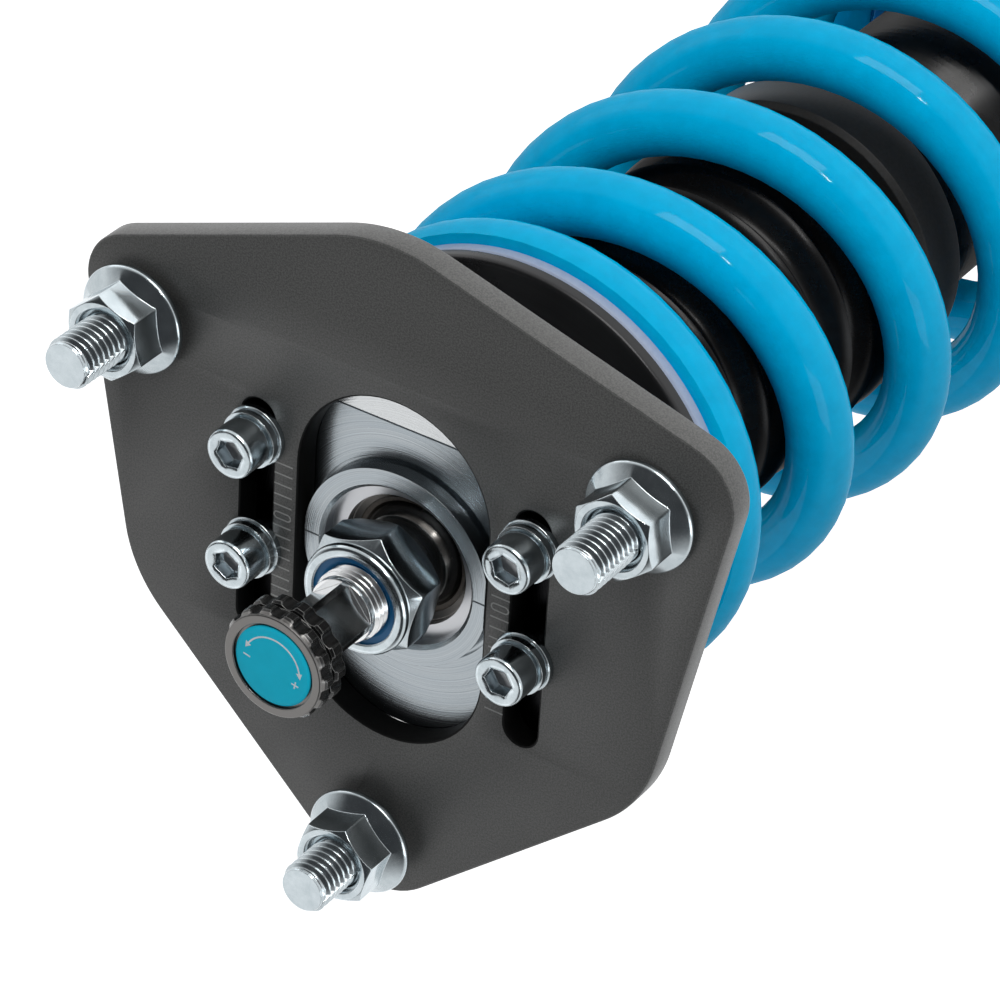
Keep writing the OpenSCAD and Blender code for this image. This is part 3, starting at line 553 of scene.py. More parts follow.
def metal_finishes():
    """Plated, turned, chromed and anodised metals."""
    # The light edge colours given to rounded() below are partly rubbed edges and partly a painted highlight
    # along the edges.
    f = Finish("Zinc plating", (0.52, 0.58, 0.61), 0.2, 1.0)
    f.speckle(260.0, 1.2, (0.47, 0.53, 0.56), (0.57, 0.63, 0.66))
    f.rounded(0.18, 0.6, (0.93, 0.95, 0.96)).grain_bump(1600.0, 0.14, 0.04)
    f.polish(210.0, 0.13, 0.22)
    f.done("zinc")

    f = Finish("Turned steel", (0.52, 0.555, 0.575), 0.24, 1.0)
    f.rounded(0.15, 0.5, (0.92, 0.93, 0.94))
    g = f.rings_bump(3600.0, 0.5, 0.05)
    f.tint(g.outputs["Value"], (0.26, 0.285, 0.30), 1.0)
    f.tint(g.outputs["Broad"], (0.30, 0.345, 0.38), 0.7)
    # Painted highlight: the slider's bevel, beyond BEVEL_Y, painted lighter steel for the light it
    # reflects.
    f.beyond(1, BEVEL_Y, (0.68, 0.70, 0.71), 0.1)
    # Painted shade: on either side beyond SLIDER_FACE_X the slider is painted near-black, for the shade
    # under the plate seen through its slots.
    f.beyond(0, SLIDER_FACE_X, (0.012, 0.012, 0.013), both_ways=True)
    f.done("turned")

    f = Finish("Bearing steel", (0.10, 0.095, 0.09), 0.2, 1.0)
    f.rounded(0.2, 0.8, (0.6, 0.6, 0.6))
    f.rings_bump(4200.0, 0.2, 0.03)
    f.polish(160.0, 0.16, 0.3)
    f.done("bearing")

    f = Finish("Spring steel", (0.50, 0.51, 0.53), 0.3, 1.0)
    f.rounded(0.15, 0.4, (0.8, 0.8, 0.8)).grain_bump(2200.0, 0.2, 0.03)
    f.done("spring_steel")

    f = Finish("Hard chrome", (0.80, 0.81, 0.82), 0.12, 1.0)
    f.rounded(0.2)
    f.grain_bump(900.0, 0.06, 0.03).polish(90.0, 0.08, 0.2)
    f.done("chrome")

    f = Finish("Machined alloy", (0.58, 0.59, 0.60), 0.3, 1.0)
    f.rounded(0.2, 0.4, (0.85, 0.85, 0.85))
    f.rings_bump(3800.0, 0.25, 0.04)
    f.done("alloy")

    f = Finish("Brass", (0.70, 0.50, 0.20), 0.25, 1.0)
    f.rounded(0.15, 0.4, (0.85, 0.7, 0.4)).grain_bump(2000.0, 0.15, 0.03)
    f.done("brass")

    f = Finish("Black anodising", (0.012, 0.012, 0.013), 0.3, 0.35)
    f.rounded(0.3, 0.35, (0.12, 0.12, 0.12))
    g = f.rings_bump(3200.0, 0.2, 0.04)
    f.tint(g.outputs["Broad"], (0.03, 0.03, 0.032), 0.6)
    f.polish(60.0, 0.24, 0.36)
    f.done("anodised")

    f = Finish("Blue anodising", (0.0, 0.20, 0.44), 0.28, 0.7)
    f.rounded(0.3, 0.5, (0.35, 0.5, 0.65))
    f.rings_bump(3000.0, 0.25, 0.04)
    f.polish(70.0, 0.22, 0.36)
    f.done("blue_metal")

    f = Finish("Knob turned rim", (0.17, 0.165, 0.16), 0.3, 1.0)
    f.rounded(0.12, 0.35, (0.6, 0.6, 0.6))
    f.rings_bump(6000.0, 0.3, 0.03)
    f.done("rim")


def coated_finishes(blue):
    """The coil's coat and the black coats."""
    f = Finish("Blue coil coat", blue, 0.38, 0.0, coat=0.2, coat_rough=0.04, specular=0.0)
    f.speckle(220.0, 1.0, [c * 0.93 for c in blue], [min(1, c * 1.06) for c in blue])
    f.grain_bump(420.0, 0.08, 0.12)
    f.polish(70.0, 0.3, 0.42)
    f.done("coil")

    f = Finish("Knob black", (0.010, 0.010, 0.010), 0.22, 0.2, coat=0.4, coat_rough=0.1)
    # Rounded edges painted grey on the black: painted highlights on the scallops' facets.
    f.rounded(0.22, 0.9, (0.40, 0.40, 0.39)).grain_bump(2400.0, 0.1, 0.03)
    f.polish(180.0, 0.18, 0.3)
    f.done("knob")

    f = Finish("Threaded body", (0.006, 0.006, 0.0065), 0.26, specular=0.3)
    f.speckle(500.0, 1.0, (0.004, 0.004, 0.0045), (0.009, 0.009, 0.0095)).grain_bump(2400.0, 0.12, 0.03)
    f.polish(70.0, 0.2, 0.34)
    f.done("body")

    f = Finish("Bracket paint", (0.016, 0.016, 0.017), 0.36, coat=0.15, coat_rough=0.2)
    # The edge colour here is partly rubbed paint and partly a painted highlight along the edges.
    f.rounded(0.5, 0.35, (0.10, 0.10, 0.10))
    f.speckle(600.0, 1.0, (0.013, 0.013, 0.014), (0.021, 0.021, 0.022)).grain_bump(700.0, 0.16, 0.12)
    f.polish(45.0, 0.3, 0.44)
    f.done("bracket")


def moulded_finishes():
    """Rubber, nylon, foam and other moulded or woven pieces."""
    f = Finish("Moulded rubber", (0.003, 0.003, 0.0035), 0.3, specular=0.18)
    f.speckle(700.0, 1.2, (0.003, 0.003, 0.0035), (0.006, 0.006, 0.0065)).grain_bump(1800.0, 0.1, 0.04)
    f.polish(55.0, 0.2, 0.32)
    f.done("rubber")

    f = Finish("Moulded cuff", (0.015, 0.0145, 0.014), 0.42, specular=0.2)
    f.rounded(0.4)
    f.speckle(1300.0, 1.2, (0.012, 0.0115, 0.011), (0.019, 0.018, 0.0175)).grain_bump(2200.0, 0.25, 0.05)
    f.done("cuff")

    f = Finish("Blue nylon", (0.0, 0.12, 0.30), 0.35, specular=0.3)
    f.rounded(0.2).grain_bump(1400.0, 0.2, 0.04)
    f.done("nylon")

    f = Finish("Pale slip ring", (0.40, 0.47, 0.64), 0.38)
    f.rounded(0.25)
    f.speckle(900.0, 1.0, (0.37, 0.44, 0.61), (0.43, 0.50, 0.66)).grain_bump(1500.0, 0.12, 0.05)
    f.done("slip")

    f = Finish("Cellular foam", (0.55, 0.42, 0.13), 0.75)
    f.speckle(1500.0, 1.8, (0.42, 0.31, 0.08), (0.62, 0.49, 0.18)).grain_bump(1500.0, 0.6, 0.2)
    f.done("foam")

    f = Finish("Bearing liner", (0.07, 0.055, 0.04), 0.6)
    f.speckle(2600.0, 1.3, (0.045, 0.035, 0.028), (0.10, 0.08, 0.06)).grain_bump(2600.0, 0.3, 0.05)
    f.done("liner")

    f = Finish("Sealing band", (0.28, 0.17, 0.09), 0.5)
    f.speckle(2200.0, 1.0, (0.22, 0.13, 0.06), (0.33, 0.21, 0.12)).grain_bump(2200.0, 0.2, 0.04)
    f.done("band")


def label_finishes(label):
    """The knob's label and its print."""
    f = Finish("Blue label", label, 0.26, coat=0.1, coat_rough=0.08, specular=0.0)
    f.speckle(90.0, 1.0, [c * 0.95 for c in label], [min(1, c * 1.04) for c in label])
    f.grain_bump(700.0, 0.05, 0.03)
    f.done("label")

    f = Finish("White print", (0.78, 0.84, 0.86), 0.4)
    f.speckle(2400.0, 1.0, (0.70, 0.78, 0.82), (0.85, 0.90, 0.92))
    f.done("print")


def build_materials(colours):
    plate_finishes(tuple(colours.plate))
    metal_finishes()
    coated_finishes(tuple(colours.coil))
    moulded_finishes()
    label_finishes(tuple(colours.label))


def dress(names, key):
    """Gives carried-over CAD nodes a finish; their shapes stay as they are."""
    for name in names:
        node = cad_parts[name]
        node.data.materials.clear()
        node.data.materials.append(MATERIALS[key])
        node.data.shade_smooth()
        node.data.set_sharp_from_angle(angle=math.radians(28))


def shorten(piece):
    """Gives a piece its own copy of its mesh."""
    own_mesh(piece)


# ---- Settings ------------------------------------------------------------

class StrutSizes(bpy.types.PropertyGroup):
    """Sizes a user may change, in metres."""
    wire: bpy.props.FloatProperty(
        name="Spring wire", description="Diameter of the coil's wire",
        default=0.013, min=0.010, max=0.014, unit="LENGTH")
    coil_radius: bpy.props.FloatProperty(
        name="Coil radius", description="From the strut's axis to the middle of the wire",
        default=0.0415, min=0.040, max=0.043, unit="LENGTH")
    body_pitch: bpy.props.FloatProperty(
        name="Body thread pitch", description="Pitch of the thread on the damper body",
        default=0.002, min=0.0015, max=0.003, unit="LENGTH")
    stud_pitch: bpy.props.FloatProperty(
        name="Stud thread pitch", description="Pitch of the thread on the mounting studs",
        default=0.0015, min=0.001, max=0.002, unit="LENGTH")
    edge: bpy.props.FloatProperty(
        name="Edge rounding", description="Rounding on the plate's edges",
        default=0.00045, min=0.0001, max=0.001, unit="LENGTH")


class StrutColours(bpy.types.PropertyGroup):
    """Colours a user may change."""
    plate: bpy.props.FloatVectorProperty(
        name="Camber plate", description="Graphite colour of the camber plate",
        default=(0.074, 0.074, 0.072), size=3, subtype="COLOR", min=0, max=1)
    coil: bpy.props.FloatVectorProperty(
        name="Coil coat", description="Blue of the coil spring",
        default=(0.0, 0.55, 0.97), size=3, subtype="COLOR", min=0, max=1)
    label: bpy.props.FloatVectorProperty(
        name="Knob label", description="Blue of the knob's label",
        default=(0.015, 0.62, 0.86), size=3, subtype="COLOR", min=0, max=1)


# ---- Pieces --------------------------------------------------------------

class STRUT_OT_finishes(bpy.types.Operator):
    """Build the shared shader groups and every finish"""
    bl_idname = "strut.finishes"
    bl_label = "Finishes"

    def execute(self, context):
        GROUPS.update(grain=grain_group(), turning=turning_group(),
                      handling=handling_group(), wear=wear_group())
        build_materials(context.scene.strut_colours)
        return {"FINISHED"}


class STRUT_OT_plate(bpy.types.Operator):
    """Build the camber plate with its slots and etched scales"""
    bl_idname = "strut.plate"
    bl_label = "Camber plate"

    def execute(self, context):
        edge = context.scene.strut_sizes.edge / MM
        # Angle, distance beyond the studs' circle and radius of each corner
        corners = ((148.1, 17.6, 11), (-154.5, -0.7, 28), (-88.7, 17.6, 15),
                   (-27.2, 3.1, 30), (32.1, 23.8, 11.5), (92.1, 4.5, 34))
        corners = [(*polar(STUD_RING + out, a), r) for a, out, r in corners]
        holes = [stadium_loop(*ROD, OPENING_R, OPENING_L, 32)]
        holes += [stadium_loop(ROD[0] + side * SLOT_X, ROD[1], SLOT_R, SLOT_L, 16) for side in (-1, 1)]
        holes += [circle_loop(*centre, STUD_SHANK + 0.05, 40) for centre in stud_centres()]
        bm = bmesh.new()
        plate_slab(bm, rounded_loop(corners), holes, 0.0, -PLATE_T, edge)
        # The hole walls take painted shade (near-black), the outer wall painted light (a lighter graphite).
        finishes = ["plate", "slot_wall_painted_shade", "plate_wall_painted_light"]
        new_piece("camber_plate_body", bm, "camber_top", finishes, ["camber_plate"])
        self.scales()
        return {"FINISHED"}

    def scales(self):
        """Etched lines beside the opening, with a zero at the middle of each scale."""
        spacing, half_width, sunk, proud = 2.25, 0.16, -0.05, 0.02
        zero_r, zero_bore = 0.85, 0.55
        bm = bmesh.new()
        for side in (-1, 1):
            x0, x1 = sorted((ROD[0] + side * 21.7, ROD[0] + side * 25.6))
            for k in range(-10, 6):
                y = ROD[1] + spacing + spacing * k
                if k:
                    block(bm, x0, x1, y - half_width, y + half_width, sunk, proud)
                    continue
                mid = (x0 + x1) / 2
                inset = 2 * (zero_r - zero_bore)
                outer = [(mid + v, y + u) for u, v in stadium_loop(0, 0, zero_r, x1 - x0, 12)]
                inner = [(mid + v, y + u) for u, v in stadium_loop(0, 0, zero_bore, x1 - x0 - inset, 12)]
                levels = ((outer, sunk), (outer, proud), (inner, proud), (inner, sunk))
                rings = [[bm.verts.new((px, py, z)) for px, py in loop] for loop, z in levels]
                for low, high in zip(rings, rings[1:] + rings[:1]):
                    for i in range(len(low)):
                        j = (i + 1) % len(low)
                        bm.faces.new((low[i], low[j], high[j], high[i]))
        new_piece("camber_scales", bm, "camber_top", ["etched"])


class STRUT_OT_studs(bpy.types.Operator):
    """Build the threaded mounting studs and their flange nuts"""
    bl_idname = "strut.studs"
    bl_label = "Studs and nuts"

    def execute(self, context):
        pitch = context.scene.strut_sizes.stud_pitch / MM
        bm = bmesh.new()
        for centre in stud_centres():
            rows = [(0, -7.5), (7.6, -7.5), (8, -7.1), (8, -5.6), (7.9, -PLATE_T), (STUD_SHANK, -PLATE_T),
                    (STUD_SHANK, -0.5), (STUD_R - 0.5, -0.3)]
            rows += thread_rows(STUD_R, 0.78, pitch, -0.2, 21.9, 6, 0.16, 0.5)
            rows += [(4.5, 21.95), (4.32, 22.3), (0, 22.3)]
            turn(bm, rows, 48, centre)
        new_piece("stud_threads", bm, "camber_top", ["zinc"], ["mount_studs"], 40)

        bm = bmesh.new()
        for centre, lift, turned in zip(stud_centres(), NUT_LIFT, NUT_TURN):
            turn(bm, self.nut_rows(lift, turned), 144, centre, wrap=True)
        new_piece("flange_nuts", bm, "camber_top", ["zinc"], ["mount_nuts"], 22, 0.14)
        return {"FINISHED"}

    def nut_rows(self, lift, turned):
        """Rows of one flange nut: bore, flange, hexagon with a chamfered top."""
        flats, bore, height = 15.0, 5.06, 10.0

        def side(t):
            return hex_radius(t, flats, turned), lift + 6.0

        def top(t):
            r = hex_radius(t, flats, turned)
            return r, lift + height - max(0.0, (r - 7.45)) * 0.72

        def foot(t):
            r = hex_radius(t, flats, turned)
            return r, lift + 2.15 + max(0.0, 10.4 - r) * 0.42

        return [(bore, lift), (10.3, lift), (10.75, lift + 0.25), (10.9, lift + 0.8), (10.85, lift + 1.35),
                (10.5, lift + 1.75), foot, side, top, (7.35, lift + height), (6.3, lift + height),
                (6.1, lift + 9.9), (bore, lift + 8.9)]


class STRUT_OT_slider(bpy.types.Operator):
    """Dress the slider, its washers and the spherical bearing"""
    bl_idname = "strut.slider"
    bl_label = "Slider and bearing"

    def execute(self, context):
        dress(["slider_plate", "upper_spacer", "lower_spacer"], "turned")
        dress(["spring_washers", "flat_washers"], "zinc")
        dress(["bearing_race", "bearing_ball"], "bearing")
        dress(["race_clip"], "spring_steel")
        dress(["bearing_liner"], "liner")
        return {"FINISHED"}


class STRUT_OT_screws(bpy.types.Operator):
    """Build the four socket head screws of the slider"""
    bl_idname = "strut.screws"
    bl_label = "Slider screws"

    def execute(self, context):
        bm = bmesh.new()
        tip, low, high = -13.05, 3.05, 9.05
        bottom = high - 2.9
        shank, head, flats = 3, 5, 5.0
        for k, (x, y) in enumerate(SCREWS):
            def socket(z, grow=0.0, k=k):
                return lambda t: (hex_radius(t, flats + grow, 12.0 + 17 * k), z)

            centre = (ROD[0] + x, ROD[1] + y)
            rows = [(0, tip), (2.5, tip), (shank, tip + 0.55), (shank, low), (4.7, low), (head, low + 0.3),
                    (head, high - 0.75), (4.93, high - 0.45), (4.72, high - 0.17), (4.4, high - 0.04),
                    (4.1, high), (3.25, high)]
            rows += [socket(high - 0.28, 0.12), socket(high - 0.5), socket(bottom)]
            turn(bm, rows, 96, centre)
            turn(bm, [socket(bottom), (1.9, bottom - 0.2), (0, bottom - 1.0)], 96, centre, 1)
        new_piece("socket_screws", bm, "slider", ["zinc", "spring_steel"], ["slider_screws"], 30)
        return {"FINISHED"}


class STRUT_OT_rod(bpy.types.Operator):
    """Build the rod nut and dress the rod"""
    bl_idname = "strut.rod"
    bl_label = "Rod and rod nut"

    def execute(self, context):
        bm = bmesh.new()
        flats, turned, foot_z, shoulder_z = 22.0, 18.0, 0.7, 9.1

        def side(t):
            return hex_radius(t, flats, turned), 4.5

        def low(t):
            r = hex_radius(t, flats, turned)
            return r, foot_z + max(0.0, r - 11.3) * 0.8

        def high(t):
            r = hex_radius(t, flats, turned)
            return r, shoulder_z - max(0.0, r - 10.75) * 0.85

        hexagon = [(ROD_THREAD_R, foot_z), (11.0, foot_z), low, side, high, (10.62, shoulder_z)]
        collar = [(10.5, 9.25), (10.5, 9.5), (11.05, 9.95), (11.1, 10.3), (11.0, 10.9), (10.7, 11.3),
                  (10.2, 11.55), (9.7, 11.6), (9.0, 11.5), (8.75, 11.3), (8.75, 11.0)]
        recess = [(9.2, 10.95), (9.2, 8.4), (ROD_THREAD_R, 8.4)]
        turn(bm, hexagon + collar + recess, 144, ROD, wrap=True)
        new_piece("rod_lock_nut", bm, "rod", ["zinc"], ["rod_nut"], 24, 0.16)
        dress(["nut_insert"], "nylon")
        dress(["piston_rod"], "chrome")
        return {"FINISHED"}


class STRUT_OT_knob(bpy.types.Operator):
    """Build the scalloped damping knob and its label"""
    bl_idname = "strut.knob"
    bl_label = "Damping knob"

    def execute(self, context):
        bm = bmesh.new()
        scallops, centre_r, cut_r = 14, 11.65, 1.75
        outer, eased, neck = 10.9, 10.45, 9.75

        def grip(radius, z):
            def row(t):
                step = TAU / scallops
                d = (t % step) - step / 2
                r = radius
                s = centre_r * math.sin(d)
                if abs(s) < cut_r:
                    r = min(r, centre_r * math.cos(d) - math.sqrt(cut_r ** 2 - s ** 2))
                return r, z
            return row

        z, top = KNOB_Z, KNOB_TOP
        shoulder = grip(10.6, z + 6.4)
        lower = [(0, z), (9.3, z), grip(10.4, z + 0.05), grip(outer, z + 0.55), grip(outer, z + 2.75),
                 grip(eased, z + 3.15)]
        upper = [(neck, z + 3.3), (neck, z + 3.75), grip(eased, z + 3.9), grip(outer, z + 4.3),
                 grip(outer, z + 6.0), shoulder]
        rim = [shoulder, (10.25, top - 0.5), (10.2, top - 0.1), (10.0, top), (8.6, top), (8.45, top - 0.12),
               (8.45, top - 0.7), (0, top - 0.7)]
        turn(bm, lower + upper, 280, ROD, 0)
        turn(bm, rim, 280, ROD, 1)
        new_piece("knob_grip", bm, "knob", ["knob", "rim"], ["adjuster_knob"], 25)

        bm = bmesh.new()
        dome = [(0, top - 0.72), (7.9, top - 0.72), (7.98, top - 0.3), (7.75, top - 0.1)]
        for a in range(0, 90, 9):
            dome.append((polar(DOME_R, a)[0], top - 0.04 + polar(DOME_RISE, a)[1]))
        dome.append((0, top + 0.18))
        turn(bm, dome, 96, ROD)
        new_piece("knob_dome", bm, "knob", ["label"], ["knob_label"], 40)
        self.print_marks(top)
        dress(["knob_screw"], "bearing")
        dress(["adjuster_rod"], "brass")
        return {"FINISHED"}

    def print_marks(self, top):
        """An arc with an arrow at each end, and the generic minus and plus signs."""
        bm = bmesh.new()

        def height(r):
            return top - 0.02 + DOME_RISE * math.sqrt(max(0.0, 1 - (r / DOME_R) ** 2))

        def lift(points):
            """A thin closed patch that follows the dome."""
            up = [bm.verts.new((ROD[0] + x, ROD[1] + y, height(math.hypot(x, y)) + 0.02))
                  for x, y in points]
            down = [bm.verts.new((v.co.x, v.co.y, v.co.z - 0.06)) for v in up]
            bm.faces.new(up)
            bm.faces.new(down[::-1])
            for i in range(len(up)):
                j = (i + 1) % len(up)
                bm.faces.new((up[i], down[i], down[j], up[j]))

        first, last, r, w = 149.0, 10.0, 5.9, 0.15
        steps = 28
        for k in range(steps):
            a0 = math.radians(first + (last - first) * k / steps)
            a1 = math.radians(first + (last - first) * (k + 1) / steps)
            patch = ((r - w, a0), (r - w, a1), (r + w, a1), (r + w, a0))
            lift([(rr * math.cos(a), rr * math.sin(a)) for rr, a in patch])
        for a, way in ((first, 1), (last, -1)):
            a = math.radians(a)
            out, along = Vector((math.cos(a), math.sin(a))), Vector((-math.sin(a), math.cos(a))) * way
            base = out * r
            lift([tuple(base + out * 0.62), tuple(base - out * 0.62), tuple(base + along * 1.25)])
        turned = math.radians(-11)
        right = Vector((math.cos(turned), math.sin(turned)))
        up = Vector((-math.sin(turned), math.cos(turned)))
        across, upright = (0.75, 0.13), (0.13, 0.75)
        square = ((-1, -1), (1, -1), (1, 1), (-1, 1))
        for c, bars in ((Vector((-5.35, 0.35)), (across,)), (Vector((5.0, -1.75)), (across, upright))):
            for hx, hy in bars:
                lift([tuple(c + right * sx * hx + up * sy * hy) for sx, sy in square])
        new_piece("knob_print", bm, "knob", ["print"])


class STRUT_OT_seat(bpy.types.Operator):
    """Build the upper seat and dress its ring and the bump stop"""
    bl_idname = "strut.seat"
    bl_label = "Upper seat"

    def execute(self, context):
        bm = bmesh.new()
        pilot = [(ROD_THREAD_R, -33), (12, -33), (12, -37.4), (31.9, -37.4), (31.9, -51), (33.9, -51),
                 (34.5, -49.5), (34.5, -41.2)]
        flange = [(44.8, -41.2), (45.1, -40.9), (45.1, -39.2), (45.0, -38.75), (44.75, -38.45),
                  (44.4, -38.28), (44.0, -38.2), (36.2, -38.2)]
        cone = [(35.6, -38.05), (35.2, -37.6), (30.9, -30.5), (30.5, -30.12), (29.9, -30)]
        hub = [(18.4, -30), (16.2, -29.7), (14.6, -29.0), (14, -28.0), (14, -27.4), (13.6, -27.0),
               (ROD_THREAD_R, -27)]
        turn(bm, pilot + flange + cone + hub, 160, ROD, wrap=True)
        new_piece("seat_dish", bm, "rod", ["anodised"], ["upper_seat"], 30)
        dress(["isolator_ring"], "slip")
        dress(["bump_stop"], "foam")
        return {"FINISHED"}


class STRUT_OT_spring(bpy.types.Operator):
    """Build the coil spring with its two ground ends"""
    bl_idname = "strut.spring"
    bl_label = "Coil spring"

    def execute(self, context):
        sizes = context.scene.strut_sizes
        wire, coil = sizes.wire / MM / 2, sizes.coil_radius / MM
        ends, opened, end_pitch, pitch, drop = 0.67, 4.98, 2.0, 37.4, 3.0
        turns = 2 * ends + opened
        per_turn, sides = 56, 28

        def soft(u, knee, blend=0.10):
            """A ramp that starts gently at the knee."""
            d = u - knee
            if d <= -blend:
                return 0.0
            if d >= blend:
                return d
            return (d + blend) ** 2 / (4 * blend)

        def height(u):
            steep = soft(u, ends) - soft(u, turns - ends)
            return SPRING_TOP - drop - u * end_pitch - steep * (pitch - end_pitch)

        count = int(turns * per_turn)
        bm = bmesh.new()
        rings = []
        for i in range(count + 1):
            u = i / per_turn
            a = math.radians(SPRING_START - 360.0 * u)
            slope = math.atan2(height(u + 0.01) - height(u - 0.01), TAU * coil * 0.02)
            ring = []
            for j in range(sides):
                t = TAU * (j + 0.5) / sides
                out, up = wire * math.cos(t), wire * math.sin(t)
                r = coil + out
                along = -up * math.sin(slope)
                z = height(u) + up * math.cos(slope)
                z = min(SPRING_TOP, max(SPRING_FOOT, z))
                x, y = r * math.cos(a), r * math.sin(a)
                x += along * math.sin(a)
                y -= along * math.cos(a)
                ring.append(bm.verts.new((ROD[0] + x, ROD[1] + y, z)))
            rings.append(ring)
        for low, high in zip(rings, rings[1:]):
            for j in range(sides):
                k = (j + 1) % sides
                bm.faces.new((low[j], low[k], high[k], high[j]))
        bm.faces.new(rings[0])
        bm.faces.new(rings[-1][::-1])
        piece = new_piece("coil_spring", bm, "rod", ["coil"], ["main_spring"], 32)
        shorten(piece)
        return {"FINISHED"}


class STRUT_OT_boot(bpy.types.Operator):
    """Build the pleated dust boot"""
    bl_idname = "strut.boot"
    bl_label = "Dust boot"

    def execute(self, context):
        top, end, tail = BOOT_TOP, BOOT_END, BOOT_TAIL
        pleats, inner, outer, wall = 8, 26.9, 32.2, 1.4
        first, last = end + 4.0, top - 8.0
        line = []
        steps = 12
        for k in range(pleats * steps + 1):
            s = (k / steps) % 1.0
            wave = (0.5 - 0.5 * math.cos(TAU * s)) ** 1.6
            line.append((inner + (outer - inner) * wave, first + (last - first) * k / (pleats * steps)))
        outside = [(28.1, tail), (28.1, end - 0.5), (28.3, end + 2.0)] + line
        outside += [(31.2, top - 6.0), (31.9, top - 4.5), (31.9, top)]
        inside = [(30.3, top), (30.3, top - 4.5), (29.6, top - 6.2)]
        inside += [(r - wall, z) for r, z in reversed(line)]
        inside += [(26.7, end + 2.0), (26.5, end - 0.5), (26.5, tail)]
        bm = bmesh.new()
        turn(bm, outside + inside, 128, ROD, wrap=True)
        piece = new_piece("boot_bellows", bm, "rod", ["rubber"], ["dust_boot"], 50)
        shorten(piece)
        return {"FINISHED"}


class STRUT_OT_body(bpy.types.Operator):
    """Build the threaded damper body and dress what is in and on it"""
    bl_idname = "strut.body"
    bl_label = "Damper body"

    def execute(self, context):
        pitch = context.scene.strut_sizes.body_pitch / MM
        bm = bmesh.new()
        rows = [(21.0, BODY_END), (25.5, BODY_END), (26.3, BODY_END + 0.8)]
        rows += thread_rows(26.5, 0.9, pitch, BODY_END + 1.2, BODY_TOP - 1.4, 4, 0.2)
        rows += [(26.1, BODY_TOP - 0.6), (25.5, BODY_TOP), (21.0, BODY_TOP)]
        turn(bm, rows, 96, ROD, wrap=True)
        new_piece("threaded_body", bm, "damper", ["body"], ["body_tube"], 60)
        dress(["boot_cuff"], "cuff")
        dress(["gland_nut", "rod_guide", "floating_piston", "base_plug", "piston"], "alloy")
        dress(["rod_wiper", "gland_oring", "floating_oring"], "rubber")
        dress(["gas_screw", "piston_nut"], "zinc")
        dress(["piston_band"], "band")
        dress(["compression_shims", "rebound_shims"], "spring_steel")
        return {"FINISHED"}


class STRUT_OT_perch(bpy.types.Operator):
    """Dress the spring perch and its rings"""
    bl_idname = "strut.perch"
    bl_label = "Spring perch"

    def execute(self, context):
        dress(["spring_perch", "perch_lock_ring", "bracket_lock_ring"], "blue_metal")
        dress(["slip_ring"], "slip")
        return {"FINISHED"}


class STRUT_OT_bracket(bpy.types.Operator):
    """Dress the knuckle bracket"""
    bl_idname = "strut.bracket"
    bl_label = "Knuckle bracket"

    def execute(self, context):
        dress(["lower_bracket"], "bracket")
        return {"FINISHED"}


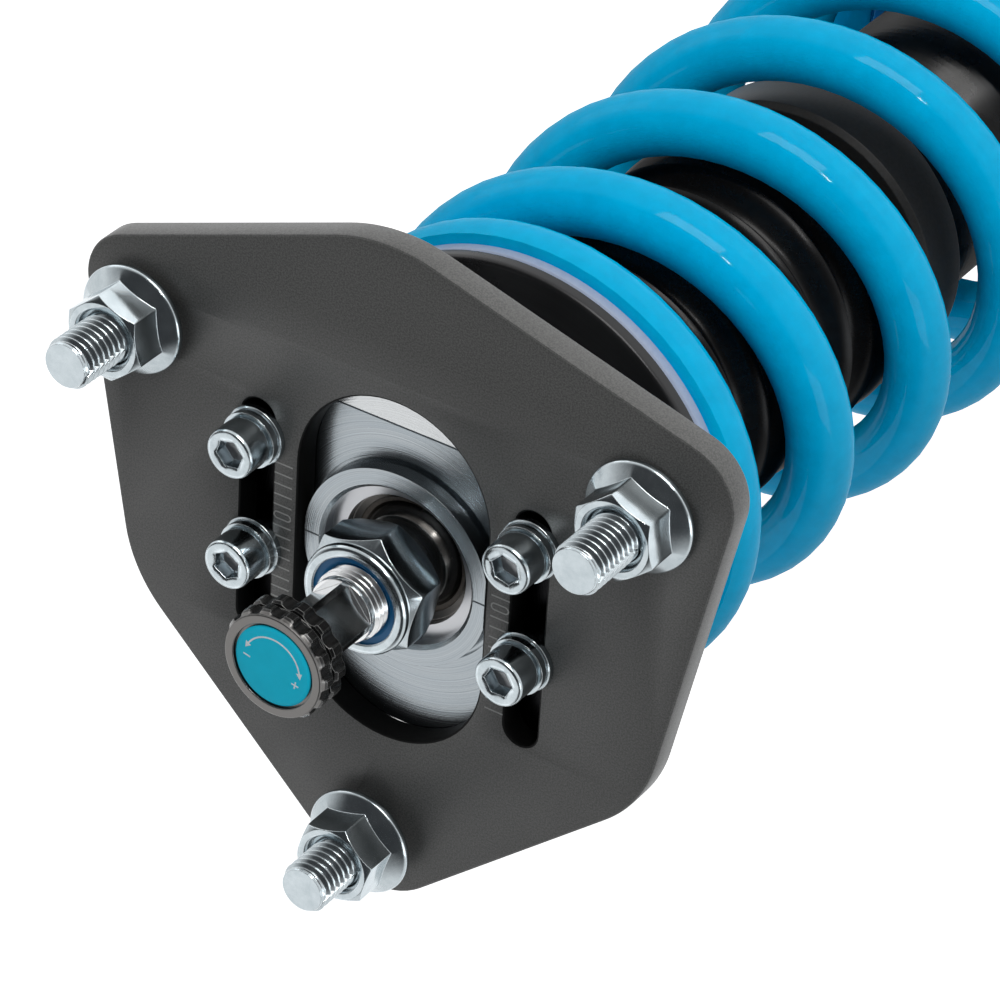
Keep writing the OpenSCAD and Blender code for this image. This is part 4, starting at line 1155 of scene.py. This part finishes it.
class STRUT_OT_stage(bpy.types.Operator):
    """Set the floor, the lamps, the world and the camera"""
    bl_idname = "strut.stage"
    bl_label = "Stage"

    def execute(self, context):
        self.floor()
        self.world(context.scene)
        self.lamps()
        self.camera(context.scene)
        context.scene.view_settings.view_transform = "Standard"
        return {"FINISHED"}

    def floor(self):
        bm = bmesh.new()
        bmesh.ops.create_grid(bm, x_segments=8, y_segments=8, size=9.0)
        mesh = bpy.data.meshes.new("floor")
        bm.to_mesh(mesh)
        bm.free()
        floor = bpy.data.objects.new("floor", mesh)
        floor.location.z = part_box("base_plug")[0].z - 0.0006
        bpy.context.scene.collection.objects.link(floor)
        mat = bpy.data.materials.new("Pale floor")
        mat.use_nodes = True
        tree = mat.node_tree
        shader = tree.nodes["Principled BSDF"]
        shader.inputs["Base Color"].default_value = (0.86, 0.86, 0.86, 1)
        shader.inputs["Roughness"].default_value = 0.7
        shader.inputs["Specular IOR Level"].default_value = 0.2
        shader.inputs["Emission Color"].default_value = (1, 1, 1, 1)
        glow = math_node(tree, "MULTIPLY", seen_rays(tree), 0.85)
        tree.links.new(glow, shader.inputs["Emission Strength"])
        mesh.materials.append(mat)

    def world(self, scene):
        world = bpy.data.worlds.new("Soft studio")
        scene.world = world
        world.use_nodes = True
        tree = world.node_tree
        tree.nodes.clear()
        out = add(tree, "OutputWorld")
        seen_bg, fill_bg, mix = add(tree, "Background"), add(tree, "Background"), add(tree, "MixShader")
        parts = add(tree, "SeparateXYZ")
        tree.links.new(add(tree, "TexCoord").outputs["Generated"], parts.inputs[0])
        ramp = add(tree, "ValToRGB")
        ramp.color_ramp.elements[0].position = 0.30
        ramp.color_ramp.elements[0].color = (1, 1, 1, 1)
        ramp.color_ramp.elements[1].position = 0.62
        ramp.color_ramp.elements[1].color = (0.05, 0.052, 0.055, 1)
        tree.links.new(parts.outputs[2], ramp.inputs[0])
        tree.links.new(ramp.outputs[0], seen_bg.inputs["Color"])
        seen_bg.inputs["Strength"].default_value = 1.0
        fill_bg.inputs["Color"].default_value = (0.86, 0.93, 1.0, 1)
        fill_bg.inputs["Strength"].default_value = 0.13
        tree.links.new(seen_rays(tree), mix.inputs[0])
        tree.links.new(fill_bg.outputs[0], mix.inputs[1])
        tree.links.new(seen_bg.outputs[0], mix.inputs[2])
        tree.links.new(mix.outputs[0], out.inputs[0])

    def lamps(self):
        target = Vector((0.0, 0.0, -0.04))
        # Name, place and size in metres, radiance, colour
        for name, place, size, glow, colour in (
                ("Key box", (0.45, 1.55, 0.50), 0.8, 6.2, (1.0, 0.99, 0.97)),
                ("Spark box", (0.95, 1.35, 0.95), 0.14, 60.0, (1.0, 1.0, 1.0)),
                ("Face box", (-1.00, -1.30, 1.65), 2.0, 1.05, (1.0, 1.0, 1.0)),
                ("Side box", (1.70, -0.45, 0.65), 0.8, 2.2, (0.93, 0.97, 1.0)),
                ("Back box", (-1.30, 0.85, -0.05), 0.7, 0.9, (1.0, 1.0, 1.0))):
            lamp = bpy.data.lights.new(name, "AREA")
            lamp.shape = "SQUARE"
            lamp.size = size
            lamp.energy = glow * math.pi * size ** 2
            lamp.color = colour
            obj = bpy.data.objects.new(name, lamp)
            obj.location = place
            obj.rotation_euler = (target - Vector(place)).to_track_quat("-Z", "Y").to_euler()
            bpy.context.scene.collection.objects.link(obj)

    def camera(self, scene):
        data = bpy.data.cameras.new("Camera")
        data.sensor_width = 36.0
        data.lens = 180.22
        data.clip_start, data.clip_end = 0.02, 40.0
        camera = bpy.data.objects.new("Camera", data)
        right = Vector((0.83404633, 0.05168731, -0.54926783))
        down = Vector((0.34394569, -0.8271515, 0.44443419))
        ahead = Vector((-0.4313561, -0.55959701, -0.7076603))
        turned = Matrix((right, -down, -ahead)).transposed()
        place = [(near + far) * MM for near, far in zip((*ROD, 0.0), CAMERA_FROM_ROD)]
        camera.matrix_world = Matrix.Translation(place) @ turned.to_4x4()
        scene.collection.objects.link(camera)
        scene.camera = camera


PIECES = (STRUT_OT_finishes, STRUT_OT_plate, STRUT_OT_studs, STRUT_OT_slider, STRUT_OT_screws, STRUT_OT_rod,
          STRUT_OT_knob, STRUT_OT_seat, STRUT_OT_spring, STRUT_OT_boot, STRUT_OT_body, STRUT_OT_perch,
          STRUT_OT_bracket, STRUT_OT_stage)


class STRUT_PT_panel(bpy.types.Panel):
    """Lists the strut's pieces in the 3D view's sidebar"""
    bl_idname = "STRUT_PT_panel"
    bl_label = "Strut Assembly"
    bl_space_type = "VIEW_3D"
    bl_region_type = "UI"
    bl_category = "Strut"

    def draw(self, context):
        column = self.layout.column()
        for group_name in ("strut_sizes", "strut_colours"):
            settings = getattr(context.scene, group_name)
            for prop in settings.bl_rna.properties:
                if prop.identifier not in ("rna_type", "name"):
                    column.prop(settings, prop.identifier)
        for piece in PIECES:
            column.operator(piece.bl_idname)


CLASSES = (StrutSizes, StrutColours, *PIECES, STRUT_PT_panel)


def register():
    for c in CLASSES:
        bpy.utils.register_class(c)
    bpy.types.Scene.strut_sizes = bpy.props.PointerProperty(type=StrutSizes)
    bpy.types.Scene.strut_colours = bpy.props.PointerProperty(type=StrutColours)


def unregister():
    del bpy.types.Scene.strut_sizes
    del bpy.types.Scene.strut_colours
    for c in reversed(CLASSES):
        bpy.utils.unregister_class(c)


def main():
    register()
    for piece in PIECES:
        kind, name = piece.bl_idname.split(".")
        getattr(getattr(bpy.ops, kind), name)()
    bpy.context.view_layer.update()


if __name__ == "__main__":
    main()
